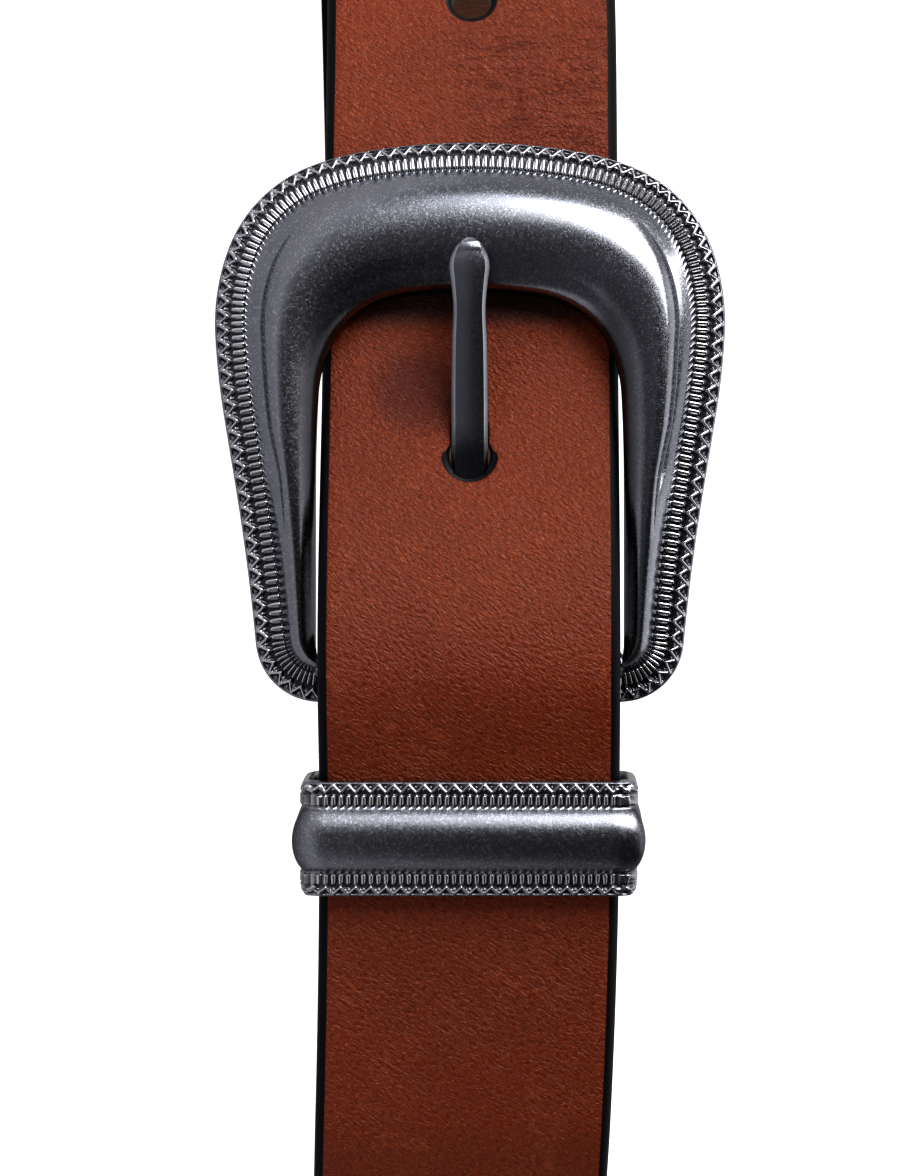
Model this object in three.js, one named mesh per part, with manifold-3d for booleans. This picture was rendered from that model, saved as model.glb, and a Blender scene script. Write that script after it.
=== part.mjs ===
// Western belt, buckled into a loop that stands on its edge. Millimetres, +Z up, the buckle at -Y.
// The whole belt is laid out flat first: s runs along the strap from the middle of the buckle towards
// the free tip, w runs across the strap, and v is the height above the wearer's side of the strap.
// The flat layout is then bent round the waist oval and lifted so that the buckle's side touches z = 0.
import * as THREE from 'three';
import { mergeVertices } from 'three/addons/utils/BufferGeometryUtils.js';
import Module from 'manifold-3d';

// Waist oval, measured inside the strap
const WAIST_HALF_LENGTH = 170;
const WAIST_HALF_DEPTH = 126;
const FRONT_STANDS_OUT = 7.19;

// Strap
const STRAP_WIDTH = 38;
const STRAP_THICK = 3;
const EDGE_ROUND = 0.8;
const LAYER_GAP = 0.3;
const TIP_AT = 130;
const TIP_ROUND_LENGTH = 26;
const HOLE_SPACING = 31;
const HOLE_RADIUS = 2.6;
const HOLE_MOUTH_RADIUS = 3.4;
const HOLE_MOUTH_DEPTH = 0.9;
const TONGUE_HOLE_AT = 4.8;
const HOLES_PAST_TONGUE = 4;
const FOLD_END = 91;
const FOLD_THICK = 1.6;
const FOLD_END_THICK = 1.2;
const WRAP_THICK = 2;
const WRAP_SLOT_WIDTH = 6;
const WRAP_SLOT_REACH = 7.5;
const LEVEL_UNTIL = 45;
const FLOOR_FROM = 310;

// Places along the strap where its layers climb over the bar, are past it, and lose the fold and the under layer
const CLIMB_FROM = -10;
const BAR_PASSED = 47;
const UNDER_SKIVED_FROM = 40;
const UNDER_SKIVED_TO = 58;
const FOLD_SKIVED_TO = 45;
const FOLD_THINS_FROM = 60;
const TIP_SINKS_FROM = 88;
const UNDER_SINKS_FROM = 90;
const SUNK = 104;
// Spacing of the strap's cross-sections in each of its stretches
const STATION_STEP = { tip: 6, front: 3.6, back: 9, under: 4.2, fold: 6 };
const TIP_STATIONS = [0, 1.5, 4, 8];
const FRONT_FROM = 60;
const FRONT_TO = -14;
const BACK_END_PAST = 3;
const TIP_BLUNT = 0.8;
const WRAP_STEPS = 10;

// Buckle frame
const FRAME_TOP = 35.7;
const OPENING_TOP = 16.2;
const BACK_AT_BAR = 2.3;
const BACK_RISE = 1.4;
const BACK_RISE_LENGTH = 47;
const BAR_AT = 31;
const BAR_OUT = 4.1;
const BAR_RADIUS = 1.8;
const BAR_HALF_LENGTH = 20;
const TOOTH_STEPS = 102;
const RIM_FLOOR = 1.35;
const RIM_WIDTH = 3.8;
const DOME_RISE = 3.8;
const DOME_REACH = 4;
const LIP_AT = 0.86;
const LIP_GROOVE = 0.3;
const DOME_SAMPLES = [0.12, 0.28, 0.5, 0.72, LIP_AT, 1];

// Keeper
const KEEPER_AT = 51.8;
const KEEPER_HALF_LENGTH = 7;
const KEEPER_INNER_HALF_WIDTH = 19.45;
const KEEPER_LOW = -0.4;
const KEEPER_HIGH = 8.75;
const KEEPER_CORNER = 1.2;
const KEEPER_CORNER_STEPS = 3;
const KEEPER_SQUARENESS = 0.7;
const KEEPER_BACK_THICK = 1.2;
const KEEPER_TEETH = 20;

// Tongue's ring
const RING_WALL = 1.5;

// Screws of the fold
const SCREW_PLACES = { fold_screw_near: 67, fold_screw_far: 82 };
const HEAD_RADIUS = 4;
const HEAD_THICK = 0.8;
const HEAD_BEVEL = 0.5;
const HEAD_SUNK = 1.2;
const POST_RADIUS = 1.9;

// How far a cutter reaches past a face, and how much thicker than the leather the slot's cutter is
const PAST = 2;
const SLOT_PLAY = 0.24;
const SHARP = 0.01;
const ROUND_SIDES = 12;

const LEATHER = { color: 0x6f3123, roughness: 0.55, metalness: 0 };
const SILVER = { color: 0x4a4b52, roughness: 0.35, metalness: 1 };

const wasm = await Module();
wasm.setup();

const oval = new THREE.EllipseCurve(0, 0, WAIST_HALF_LENGTH, WAIST_HALF_DEPTH, -Math.PI / 2, 1.5 * Math.PI);
oval.arcLengthDivisions = 2400;
const LOOP = oval.getLength();

const smooth = (t) => {
  const x = THREE.MathUtils.clamp(t, 0, 1);
  return x * x * (3 - 2 * x);
};

// A height that changes only along the listed ramps, each from one place to another.
const along = (base, ramps) => (s) => ramps.reduce(
  (height, ramp) => height + ramp.rise * smooth((s - ramp.from) / (ramp.to - ramp.from)), base);

// One half of an outline walked from its top, as rows of arcs and straight runs.
function walk(start, rows) {
  const legs = [];
  let { a, b, heading } = start;
  for (const row of rows) {
    const turn = THREE.MathUtils.degToRad(row.turn ?? 0);
    const length = row.length ?? Math.abs(row.radius * turn);
    const begin = { a, b, heading };
    const at = (fraction) => {
      const to = begin.heading + turn * fraction;
      if (!turn) {
        const run = length * fraction;
        return { a: begin.a + run * Math.cos(to), b: begin.b + run * Math.sin(to), heading: to };
      }
      const radius = length / turn;
      return {
        a: begin.a + radius * (Math.sin(to) - Math.sin(begin.heading)),
        b: begin.b - radius * (Math.cos(to) - Math.cos(begin.heading)),
        heading: to,
      };
    };
    legs.push({ length, at });
    ({ a, b, heading } = at(1));
  }
  return legs;
}

const RIM_ROWS = [
  { name: 'top', radius: 80, turn: 10 },
  { name: 'brow', radius: 33.5, turn: 12 },
  { name: 'shoulder', radius: 18.4, turn: 50 },
  { name: 'cheek', radius: 28.5, turn: 21.5 },
  { name: 'hip', radius: 95, turn: 6.25 },
  { name: 'leg', length: 9 },
  { name: 'foot', radius: 260, turn: -4.4 },
  { name: 'corner', radius: 8.1, turn: 84.65 },
];
const OPENING_ROWS = [
  { name: 'top', radius: 60, turn: 8 },
  { name: 'brow', radius: 14, turn: 18 },
  { name: 'shoulder', radius: 11.5, turn: 42 },
  { name: 'cheek', radius: 16, turn: 19 },
  { name: 'hip', radius: 200, turn: 3 },
  { name: 'leg', length: 5 },
  { name: 'foot', length: 14 },
  { name: 'corner', length: 2.5 },
];
const rim = walk({ a: 0, b: -FRAME_TOP, heading: 0 }, RIM_ROWS);
const opening = walk({ a: 0, b: -OPENING_TOP, heading: 0 }, OPENING_ROWS);
const RIM_LENGTH = rim.reduce((sum, leg) => sum + leg.length, 0);
const FRAME_HALF_WIDTH = Math.max(...rim.flatMap((leg) => spread(0, 1, 0.01).map((part) => leg.at(part).a)));
const LIFT = FRAME_HALF_WIDTH - STRAP_WIDTH / 2;

// The strap lies on the floor behind and climbs evenly to the level buckle in front. The oval is moved
// back by half of what the buckled front stands out, so that the origin is under the middle of the belt.
function place({ x: s, y: w, z: v }) {
  const turns = s / LOOP;
  const u = turns - Math.floor(turns);
  const point = oval.getPointAt(u);
  const tangent = oval.getTangentAt(u);
  const away = Math.min(u, 1 - u) * LOOP;
  const lift = LIFT * (1 - smooth((away - LEVEL_UNTIL) / (FLOOR_FROM - LEVEL_UNTIL)));
  return new THREE.Vector3(
    point.x + tangent.y * v,
    point.y - tangent.x * v + FRONT_STANDS_OUT / 2,
    STRAP_WIDTH / 2 + lift + w,
  );
}

// Closed body from rings of equal length, with both ends capped.
function skin(rings, endShape) {
  const count = rings[0].length;
  const faces = [];
  for (let i = 0; i + 1 < rings.length; i += 1) {
    for (let j = 0; j < count; j += 1) {
      const here = i * count + j;
      const beside = i * count + ((j + 1) % count);
      faces.push(here, beside, beside + count, here, beside + count, here + count);
    }
  }
  const last = (rings.length - 1) * count;
  const clockwise = THREE.ShapeUtils.isClockWise(endShape);
  for (const [a, b, c] of THREE.ShapeUtils.triangulateShape(endShape, [])) {
    const [d, e] = clockwise ? [c, b] : [b, c];
    faces.push(a, e, d, last + a, last + d, last + e);
  }
  return asGeometry(rings.flat(), faces);
}

// Closed body from rings that follow one another round a loop.
function hoop(rings) {
  const count = rings[0].length;
  const faces = [];
  rings.forEach((_, i) => {
    const base = i * count;
    const following = ((i + 1) % rings.length) * count;
    for (let j = 0; j < count; j += 1) {
      const k = (j + 1) % count;
      faces.push(base + j, base + k, following + k, base + j, following + k, following + j);
    }
  });
  return asGeometry(rings.flat(), faces);
}

function asGeometry(points, faces) {
  const geometry = new THREE.BufferGeometry().setFromPoints(points);
  geometry.setIndex(faces);
  return geometry;
}

function bend(geometry) {
  const position = geometry.attributes.position;
  const point = new THREE.Vector3();
  for (let i = 0; i < position.count; i += 1) {
    const placed = place(point.fromBufferAttribute(position, i));
    position.setXYZ(i, placed.x, placed.y, placed.z);
  }
  return geometry;
}

function signedVolume(position, faces) {
  const corners = [0, 1, 2].map(() => new THREE.Vector3());
  let volume = 0;
  for (let i = 0; i < faces.length; i += 3) {
    corners.forEach((corner, j) => corner.fromBufferAttribute(position, faces[i + j]));
    volume += corners[0].dot(corners[1].cross(corners[2])) / 6;
  }
  return volume;
}

function toSolid(geometry) {
  const bare = geometry.clone();
  bare.deleteAttribute('normal');
  bare.deleteAttribute('uv');
  const merged = mergeVertices(bare, 1e-4);
  const triVerts = Uint32Array.from(merged.index.array);
  if (signedVolume(merged.attributes.position, triVerts) < 0) {
    for (let i = 0; i < triVerts.length; i += 3) {
      [triVerts[i], triVerts[i + 1]] = [triVerts[i + 1], triVerts[i]];
    }
  }
  const vertProperties = Float32Array.from(merged.attributes.position.array);
  return new wasm.Manifold(new wasm.Mesh({ numProp: 3, vertProperties, triVerts }));
}

// Slivers that a cut leaves are drawn together within the given tolerance.
const SLIVER = 0.012;
function toMesh(name, solid, look) {
  const { vertProperties, triVerts } = solid.simplify(SLIVER).getMesh();
  const geometry = new THREE.BufferGeometry();
  geometry.setAttribute('position', new THREE.BufferAttribute(vertProperties, 3));
  geometry.setIndex(new THREE.BufferAttribute(triVerts, 1));
  geometry.computeVertexNormals();
  const mesh = new THREE.Mesh(geometry, new THREE.MeshStandardMaterial(look));
  mesh.name = name;
  return mesh;
}

// Evenly spaced places from one value up to, but not including, another.
function spread(from, to, step) {
  const count = Math.max(1, Math.round(Math.abs(to - from) / step));
  return Array.from({ length: count }, (_, i) => from + ((to - from) * i) / count);
}

// Strap: heights of the middle of each layer above the wearer's side.
const PLAIN_OUT = STRAP_THICK / 2;
const WRAP_RADIUS = BAR_RADIUS + LAYER_GAP + WRAP_THICK / 2;
const UNDER_OUT = FOLD_THICK + LAYER_GAP + STRAP_THICK / 2;
const OVER_OUT = UNDER_OUT + STRAP_THICK + LAYER_GAP;
const OVER_BAR = BAR_OUT + WRAP_RADIUS + WRAP_THICK / 2 + LAYER_GAP + STRAP_THICK / 2;
const overHeight = along(PLAIN_OUT, [
  { from: CLIMB_FROM, to: BAR_AT, rise: OVER_BAR - PLAIN_OUT },
  { from: BAR_AT, to: BAR_PASSED, rise: OVER_OUT - OVER_BAR },
  { from: TIP_SINKS_FROM, to: SUNK, rise: PLAIN_OUT - UNDER_OUT },
]);
const underHeight = along(BAR_OUT + WRAP_RADIUS, [
  { from: BAR_AT, to: BAR_PASSED, rise: UNDER_OUT - BAR_OUT - WRAP_RADIUS },
  { from: UNDER_SINKS_FROM, to: SUNK, rise: PLAIN_OUT - UNDER_OUT },
]);
const underThick = along(WRAP_THICK, [
  { from: UNDER_SKIVED_FROM, to: UNDER_SKIVED_TO, rise: STRAP_THICK - WRAP_THICK },
]);
const foldThick = along(WRAP_THICK, [
  { from: BAR_AT, to: FOLD_SKIVED_TO, rise: FOLD_THICK - WRAP_THICK },
  { from: FOLD_THINS_FROM, to: FOLD_END, rise: FOLD_END_THICK - FOLD_THICK },
]);

// The tip is half an ellipse whose very end is cut off blunt.
function tipHalf(s) {
  const past = Math.max(0, (s - TIP_AT + TIP_ROUND_LENGTH) / (TIP_ROUND_LENGTH + TIP_BLUNT));
  return (STRAP_WIDTH / 2) * Math.sqrt(1 - past * past);
}

const overAt = (s) => ({ s, v: overHeight(s), thick: STRAP_THICK, half: tipHalf(s) });
const underAt = (s) => ({ s: s - LOOP, v: underHeight(s), thick: underThick(s), half: STRAP_WIDTH / 2 });
const foldAt = (s) => ({ s: s - LOOP, v: foldThick(s) / 2, thick: foldThick(s), half: STRAP_WIDTH / 2 });

// Round the bar, from a share of 0 at the under layer to 1 at the fold
function wrapAt(share) {
  const angle = Math.PI * (0.5 + share);
  return {
    s: BAR_AT - LOOP + WRAP_RADIUS * Math.cos(angle),
    v: BAR_OUT + WRAP_RADIUS * Math.sin(angle),
    thick: WRAP_THICK,
    half: STRAP_WIDTH / 2,
  };
}
const wrap = Array.from({ length: WRAP_STEPS + 1 }, (_, i) => wrapAt(i / WRAP_STEPS));

function strapStations() {
  const backEnd = SUNK + BACK_END_PAST;
  return [
    ...TIP_STATIONS.slice(0, -1).map((back) => overAt(TIP_AT - back)),
    ...spread(TIP_AT - TIP_STATIONS.at(-1), FRONT_FROM, STATION_STEP.tip).map(overAt),
    ...spread(FRONT_FROM, FRONT_TO, STATION_STEP.front).map(overAt),
    ...spread(FRONT_TO, backEnd - LOOP, STATION_STEP.back).map(overAt),
    ...spread(backEnd, BAR_AT, STATION_STEP.under).map(underAt),
    ...wrap,
    ...spread(BAR_AT + STATION_STEP.fold, FOLD_END, STATION_STEP.fold).map(foldAt),
    foldAt(FOLD_END),
  ];
}

// A flat band carried along stations in the s-v plane, with rounded long edges that take up at most the
// given shares of its half width and half thickness.
const WIDEST_ROUND = { half: 0.3, thick: 0.6 };
function band(stations, round) {
  let shape;
  const rings = stations.map(({ s, v, thick, half }, i) => {
    const before = stations[Math.max(0, i - 1)];
    const after = stations[Math.min(stations.length - 1, i + 1)];
    const run = new THREE.Vector2(after.s - before.s, after.v - before.v).normalize();
    const t = thick / 2;
    const c = Math.min(round, half * WIDEST_ROUND.half, t * WIDEST_ROUND.thick);
    shape = [
      [half - c, t], [half, t - c], [half, c - t], [half - c, -t],
      [c - half, -t], [-half, c - t], [-half, t - c], [c - half, t],
    ].map(([x, y]) => new THREE.Vector2(x, y));
    return shape.map(({ x, y }) => new THREE.Vector3(s - run.y * y, x, v + run.x * y));
  });
  return skin(rings, shape);
}

// A turned body that stands along v at a place on the strap, given as (radius, height) rows.
function turned(s, profile, sides) {
  const points = profile.map(([radius, height]) => new THREE.Vector2(radius, height));
  const geometry = new THREE.LatheGeometry(points, sides);
  geometry.rotateX(Math.PI / 2);
  return geometry.translate(s, 0, 0);
}

function holeCutter(s) {
  const top = overHeight(s) + STRAP_THICK / 2;
  return turned(s, [
    [0, -PAST], [HOLE_RADIUS, -PAST], [HOLE_RADIUS, top - HOLE_MOUTH_DEPTH],
    [HOLE_MOUTH_RADIUS, top], [HOLE_MOUTH_RADIUS, top + PAST], [0, top + PAST],
  ], ROUND_SIDES);
}

// A screw's profile from its inner head to its outer one, and the profile of the seat cut for it
const INNER_HEAD_FACE = -LAYER_GAP;
const SEAT_FACE = UNDER_OUT + STRAP_THICK / 2 - HEAD_SUNK;
const OUTER_HEAD_FACE = SEAT_FACE + LAYER_GAP;
const SCREW_PROFILE = [
  [0, INNER_HEAD_FACE - HEAD_THICK], [HEAD_RADIUS - HEAD_BEVEL, INNER_HEAD_FACE - HEAD_THICK],
  [HEAD_RADIUS, INNER_HEAD_FACE - HEAD_THICK + HEAD_BEVEL], [HEAD_RADIUS, INNER_HEAD_FACE],
  [POST_RADIUS, INNER_HEAD_FACE], [POST_RADIUS, OUTER_HEAD_FACE], [HEAD_RADIUS, OUTER_HEAD_FACE],
  [HEAD_RADIUS, OUTER_HEAD_FACE + HEAD_THICK - HEAD_BEVEL],
  [HEAD_RADIUS - HEAD_BEVEL, OUTER_HEAD_FACE + HEAD_THICK], [0, OUTER_HEAD_FACE + HEAD_THICK],
];
const SEAT_PROFILE = [
  [0, -PAST], [POST_RADIUS + LAYER_GAP, -PAST], [POST_RADIUS + LAYER_GAP, SEAT_FACE],
  [HEAD_RADIUS + LAYER_GAP, SEAT_FACE], [HEAD_RADIUS + LAYER_GAP, SEAT_FACE + HEAD_SUNK + LAYER_GAP / 2],
  [0, SEAT_FACE + HEAD_SUNK + LAYER_GAP / 2],
];

// Tongue: the middle line's height and the half width and half depth of the bevelled bar.
const TONGUE_ROWS = [
  { name: 'root', at: 27.6, out: 4.1, half: 2.35, deep: 1.2 },
  { name: 'run', at: 18, out: 4.05, half: 2.35, deep: 1.2 },
  { name: 'dip', at: 9, out: 4.05, half: 2.35, deep: 1.2 },
  { name: 'hole', at: 3.5, out: 4.6, half: 2.35, deep: 1.2 },
  { name: 'rise', at: -2.5, out: 6, half: 2.35, deep: 1.2 },
  { name: 'shaft', at: -9, out: 7.8, half: 2.25, deep: 1.2 },
  { name: 'neck', at: -13.4, out: 9.1, half: 2.1, deep: 1.15 },
  { name: 'flare', at: -16.2, out: 9.75, half: 2.4, deep: 1.05 },
  { name: 'head', at: -17.9, out: 10.05, half: 2.6, deep: 1 },
  { name: 'point', at: -19.3, out: 10.1, half: 2.2, deep: 0.9 },
  { name: 'brink', at: -20.5, out: 9.9, half: 1.4, deep: 0.65 },
  { name: 'tip', at: -21.2, out: 9.7, half: 0.5, deep: 0.35 },
];
// Corners of its section, in half widths and half depths
const TONGUE_SECTION = [
  { side: 1, top: 0.35 }, { side: 0.85, top: 0.8 }, { side: 0, top: 1 }, { side: -0.85, top: 0.8 },
  { side: -1, top: 0.35 }, { side: -1, top: -0.6 }, { side: -0.75, top: -1 }, { side: 0.75, top: -1 },
  { side: 1, top: -0.6 },
];
const TONGUE_STEPS_A_ROW = 2;
function tongueSolid(spare) {
  const centre = new THREE.CatmullRomCurve3(
    TONGUE_ROWS.map(({ at, out }) => new THREE.Vector3(at, 0, out)), false, 'centripetal');
  const sizes = new THREE.CatmullRomCurve3(
    TONGUE_ROWS.map(({ half, deep }) => new THREE.Vector3(half, deep, 0)), false, 'centripetal');
  const steps = TONGUE_STEPS_A_ROW * (TONGUE_ROWS.length - 1);
  let shape;
  const rings = Array.from({ length: steps + 1 }, (_, i) => {
    const middle = centre.getPoint(i / steps);
    const run = centre.getTangent(i / steps);
    const size = sizes.getPoint(i / steps);
    shape = TONGUE_SECTION.map(({ side, top }) => new THREE.Vector2(
      side * (size.x + spare), top * (size.y + spare)));
    return shape.map(({ x, y }) => new THREE.Vector3(middle.x + run.z * y, x, middle.z - run.x * y));
  });
  return toSolid(bend(skin(rings, shape)));
}

function tongueRing() {
  const inside = BAR_RADIUS + LAYER_GAP;
  const shape = new THREE.Shape().absarc(0, 0, inside + RING_WALL, 0, 2 * Math.PI);
  shape.holes.push(new THREE.Path().absarc(0, 0, inside, 0, 2 * Math.PI, true));
  const width = 2 * TONGUE_ROWS[0].half;
  const ring = new THREE.ExtrudeGeometry(shape, { depth: width, bevelEnabled: false, curveSegments: 8 });
  ring.translate(0, 0, -width / 2);
  ring.rotateX(Math.PI / 2);
  ring.translate(BAR_AT, 0, BAR_OUT);
  return toSolid(bend(ring));
}

function strapSolid(tongueRoom) {
  const slotEnd = BAR_AT + WRAP_SLOT_REACH;
  const slot = [
    underAt(slotEnd), underAt(BAR_AT + WRAP_SLOT_REACH / 2), ...wrap, foldAt(BAR_AT + WRAP_SLOT_REACH / 2),
    foldAt(slotEnd),
  ].map((station) => ({ ...station, half: WRAP_SLOT_WIDTH / 2, thick: station.thick + SLOT_PLAY }));
  const cutters = [toSolid(bend(band(slot, SHARP))), tongueRoom];
  for (let i = 0; i <= HOLES_PAST_TONGUE; i += 1) {
    cutters.push(toSolid(bend(holeCutter(TONGUE_HOLE_AT - i * HOLE_SPACING))));
  }
  for (const s of Object.values(SCREW_PLACES)) {
    cutters.push(toSolid(bend(turned(s, SEAT_PROFILE, ROUND_SIDES))));
  }
  return cutters.reduce((solid, cutter) => solid.subtract(cutter), toSolid(bend(band(strapStations(), EDGE_ROUND))));
}

// Height of the frame's back above the wearer's side: it rises a little towards the top rail.
const backHeight = (b) => BACK_AT_BAR + (BACK_RISE * (BAR_AT - b)) / BACK_RISE_LENGTH;

// Rise of the fat rounded body above the rim, across its width x from 0 at the rim to 1 at the opening. A
// shallow groove sets off the lip round the opening, whose edge keeps a share of the crest's height.
const PEAK_AT = 0.5;
const LIP_SHARE = 0.3;
function domeRise(x, width) {
  const crest = DOME_RISE * Math.tanh(width / DOME_REACH);
  const away = Math.abs(x - PEAK_AT) / PEAK_AT;
  if (x < PEAK_AT) return crest * (1 - away ** 2) ** 0.9;
  const inner = LIP_SHARE + (1 - LIP_SHARE) * (1 - away ** 2.1) ** 0.62;
  return crest * inner - (x === LIP_AT ? LIP_GROOVE : 0);
}

// Section of the rim, in from its edge: at a tooth's point, and where given at the valley beside it
const RIM_SECTION = [
  { name: 'foot', in: 0, up: 0 },
  { name: 'edge', in: 0, up: 0.7 },
  { name: 'lip', in: 0.3, up: 1.15 },
  { name: 'ground', in: 0.5, up: 0.95 },
  { name: 'teeth', in: 0.75, up: 1.6, valley: { in: 1.5, up: 1.9 } },
  { name: 'divide', in: 1.8, up: RIM_FLOOR },
  { name: 'ribs', in: 2.7, up: 1.9, valley: { in: 2.7, up: 1.45 } },
  { name: 'inner', in: RIM_WIDTH, up: RIM_FLOOR },
];

function frameSection(step) {
  let run = (Math.abs(step) / TOOTH_STEPS) * RIM_LENGTH;
  let row = 0;
  while (row < rim.length - 1 && run > rim[row].length) {
    run -= rim[row].length;
    row += 1;
  }
  const fraction = Math.min(1, run / rim[row].length);
  const outer = rim[row].at(fraction);
  const inner = opening[row].at(fraction);
  const inward = new THREE.Vector2(-Math.sin(outer.heading), Math.cos(outer.heading));
  const shoulder = new THREE.Vector2(outer.a, outer.b).addScaledVector(inward, RIM_WIDTH);
  const width = shoulder.distanceTo(new THREE.Vector2(inner.a, inner.b));
  const rimPoints = RIM_SECTION.map((corner) => {
    const { in: inset, up } = step % 2 === 0 ? corner : corner.valley ?? corner;
    return { a: outer.a + inward.x * inset, b: outer.b + inward.y * inset, up };
  });
  const domePoints = DOME_SAMPLES.map((x) => ({
    a: THREE.MathUtils.lerp(shoulder.x, inner.a, x),
    b: THREE.MathUtils.lerp(shoulder.y, inner.b, x),
    up: RIM_FLOOR + domeRise(x, width),
  }));
  const points = [...rimPoints, ...domePoints, { ...inner, up: 0 }];
  return points.map(({ a, b, up }) => new THREE.Vector3(b, step < 0 ? -a : a, backHeight(b) + up));
}

function frameSolid() {
  const rings = [];
  for (let step = -TOOTH_STEPS; step <= TOOTH_STEPS; step += 1) rings.push(frameSection(step));
  const endShape = rings[0].map(({ x, z }) => new THREE.Vector2(x, z));
  const casting = toSolid(bend(skin(rings, endShape)));
  const bar = new THREE.CylinderGeometry(BAR_RADIUS, BAR_RADIUS, 2 * BAR_HALF_LENGTH, 14);
  bar.translate(BAR_AT, 0, BAR_OUT);
  return casting.add(toSolid(bend(bar)));
}

// Keeper: the way round its inside, as places with an outward direction. The outward directions reach further
// at the corners, so that the outside is squarer than the inside.
function keeperStations() {
  const half = KEEPER_INNER_HALF_WIDTH;
  const corner = (w, v, from) => Array.from({ length: KEEPER_CORNER_STEPS + 1 }, (_, i) => {
    const angle = THREE.MathUtils.degToRad(from - (i * 90) / KEEPER_CORNER_STEPS);
    const round = new THREE.Vector2(Math.cos(angle), Math.sin(angle));
    const reach = Math.max(Math.abs(round.x), Math.abs(round.y)) ** -KEEPER_SQUARENESS;
    const out = round.clone().multiplyScalar(from > 0 ? reach : 1);
    return { w: w + KEEPER_CORNER * round.x, v: v + KEEPER_CORNER * round.y, out, plain: from <= 0 };
  });
  const run = half - KEEPER_CORNER;
  const high = KEEPER_HIGH - KEEPER_CORNER;
  const low = KEEPER_LOW + KEEPER_CORNER;
  const level = (count, from, to, v, up) => spread(from, to, Math.abs(to - from) / count).slice(1)
    .map((w) => ({ w, v, out: new THREE.Vector2(0, up), plain: up < 0 }));
  const upright = (count, from, to, side) => spread(from, to, Math.abs(to - from) / count).slice(1)
    .map((v) => ({ w: side * half, v, out: new THREE.Vector2(side, 0), plain: false }));
  return [
    ...level(2 * KEEPER_TEETH, -run, run, KEEPER_HIGH, 1),
    ...corner(run, high, 90),
    ...upright(3, high, low, 1),
    ...corner(run, low, 0),
    ...level(4, run, -run, KEEPER_LOW, -1),
    ...corner(-run, low, -90),
    ...upright(3, low, high, -1),
    ...corner(-run, high, 180),
  ];
}

// Section of the keeper from its edge to its crown: places from its middle and thicknesses at a tooth's point,
// where given at the valley beside it, and where given on the two sides of the loop
const KEEPER_SECTION = [
  { name: 'edge', at: KEEPER_HALF_LENGTH, up: 1 },
  { name: 'lip', at: 6.72, up: 1.6 },
  { name: 'teeth', at: 6.4, up: 1.9, valley: { at: 5.75, up: 1.9 } },
  { name: 'divide', at: 5.45, up: 1.4 },
  { name: 'ribs', at: 4.85, up: 1.9, valley: { at: 4.85, up: 1.5 } },
  { name: 'groove', at: 4.05, up: 1.4 },
  { name: 'slope', at: 2.9, up: 2.8, side: 2.05 },
  { name: 'crown', at: 0.9, up: 3.75, side: 2.5 },
];

function keeperSolid() {
  const rings = keeperStations().map(({ w, v, out, plain }, i) => {
    const section = KEEPER_SECTION.map((corner) => {
      const { at, up } = i % 2 === 0 ? corner : corner.valley ?? corner;
      const thick = Math.abs(out.y) < 0.5 ? corner.side ?? up : up;
      return { at, up: plain ? KEEPER_BACK_THICK : thick };
    });
    const across = [
      { at: KEEPER_HALF_LENGTH, up: 0 }, ...section,
      ...section.toReversed().map(({ at, up }) => ({ at: -at, up })), { at: -KEEPER_HALF_LENGTH, up: 0 },
    ];
    return across.map(({ at, up }) => new THREE.Vector3(KEEPER_AT + at, w + out.x * up, v + out.y * up));
  });
  return toSolid(bend(hoop(rings)));
}

const belt = new THREE.Group();
belt.add(
  toMesh('strap', strapSolid(tongueSolid(LAYER_GAP)), LEATHER),
  toMesh('buckle_frame', frameSolid(), SILVER),
  toMesh('tongue', tongueSolid(0).add(tongueRing()), SILVER),
  toMesh('keeper', keeperSolid(), SILVER),
);
for (const [name, s] of Object.entries(SCREW_PLACES)) {
  belt.add(toMesh(name, toSolid(bend(turned(s, SCREW_PROFILE, ROUND_SIDES))), SILVER));
}

export default belt;
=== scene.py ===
"""A buckled western belt: strap, cast buckle, tongue, keeper and the screws that close the fold.

The belt is laid out flat and then bent round the waist. In the flat layout s runs along the strap from the
middle of the buckle towards the free tip, w runs across it and v stands out from the wearer, in millimetres.
"""

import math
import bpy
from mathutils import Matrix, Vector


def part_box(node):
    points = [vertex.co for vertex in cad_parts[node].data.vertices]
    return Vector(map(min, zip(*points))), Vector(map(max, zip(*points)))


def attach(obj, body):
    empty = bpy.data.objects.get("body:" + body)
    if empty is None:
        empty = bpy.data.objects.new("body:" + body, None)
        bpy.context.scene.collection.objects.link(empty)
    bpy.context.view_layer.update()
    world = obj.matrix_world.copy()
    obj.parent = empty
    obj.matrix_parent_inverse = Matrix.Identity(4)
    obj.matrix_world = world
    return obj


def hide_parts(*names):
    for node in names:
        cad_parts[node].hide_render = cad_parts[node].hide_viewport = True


bl_info = {
    "name": "Western Belt",
    "version": (1, 0, 0),
    "blender": (4, 5, 0),
    "location": "3D View > Sidebar > Belt",
    "description": "Builds a leather belt with a cast buckle and keeper from a few sizes",
    "category": "Add Mesh",
}

import bpy
import numpy as np
from mathutils import Matrix, Vector

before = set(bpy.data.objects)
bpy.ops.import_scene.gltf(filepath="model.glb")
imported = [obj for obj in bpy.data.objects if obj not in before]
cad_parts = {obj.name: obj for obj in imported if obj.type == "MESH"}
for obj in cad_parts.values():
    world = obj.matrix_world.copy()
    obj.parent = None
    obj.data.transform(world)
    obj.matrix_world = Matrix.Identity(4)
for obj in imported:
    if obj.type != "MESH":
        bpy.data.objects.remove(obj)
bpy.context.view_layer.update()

MM = 0.001
# Steps of the table of arc lengths round the waist's oval
OVAL_STEPS = 6000

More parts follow.
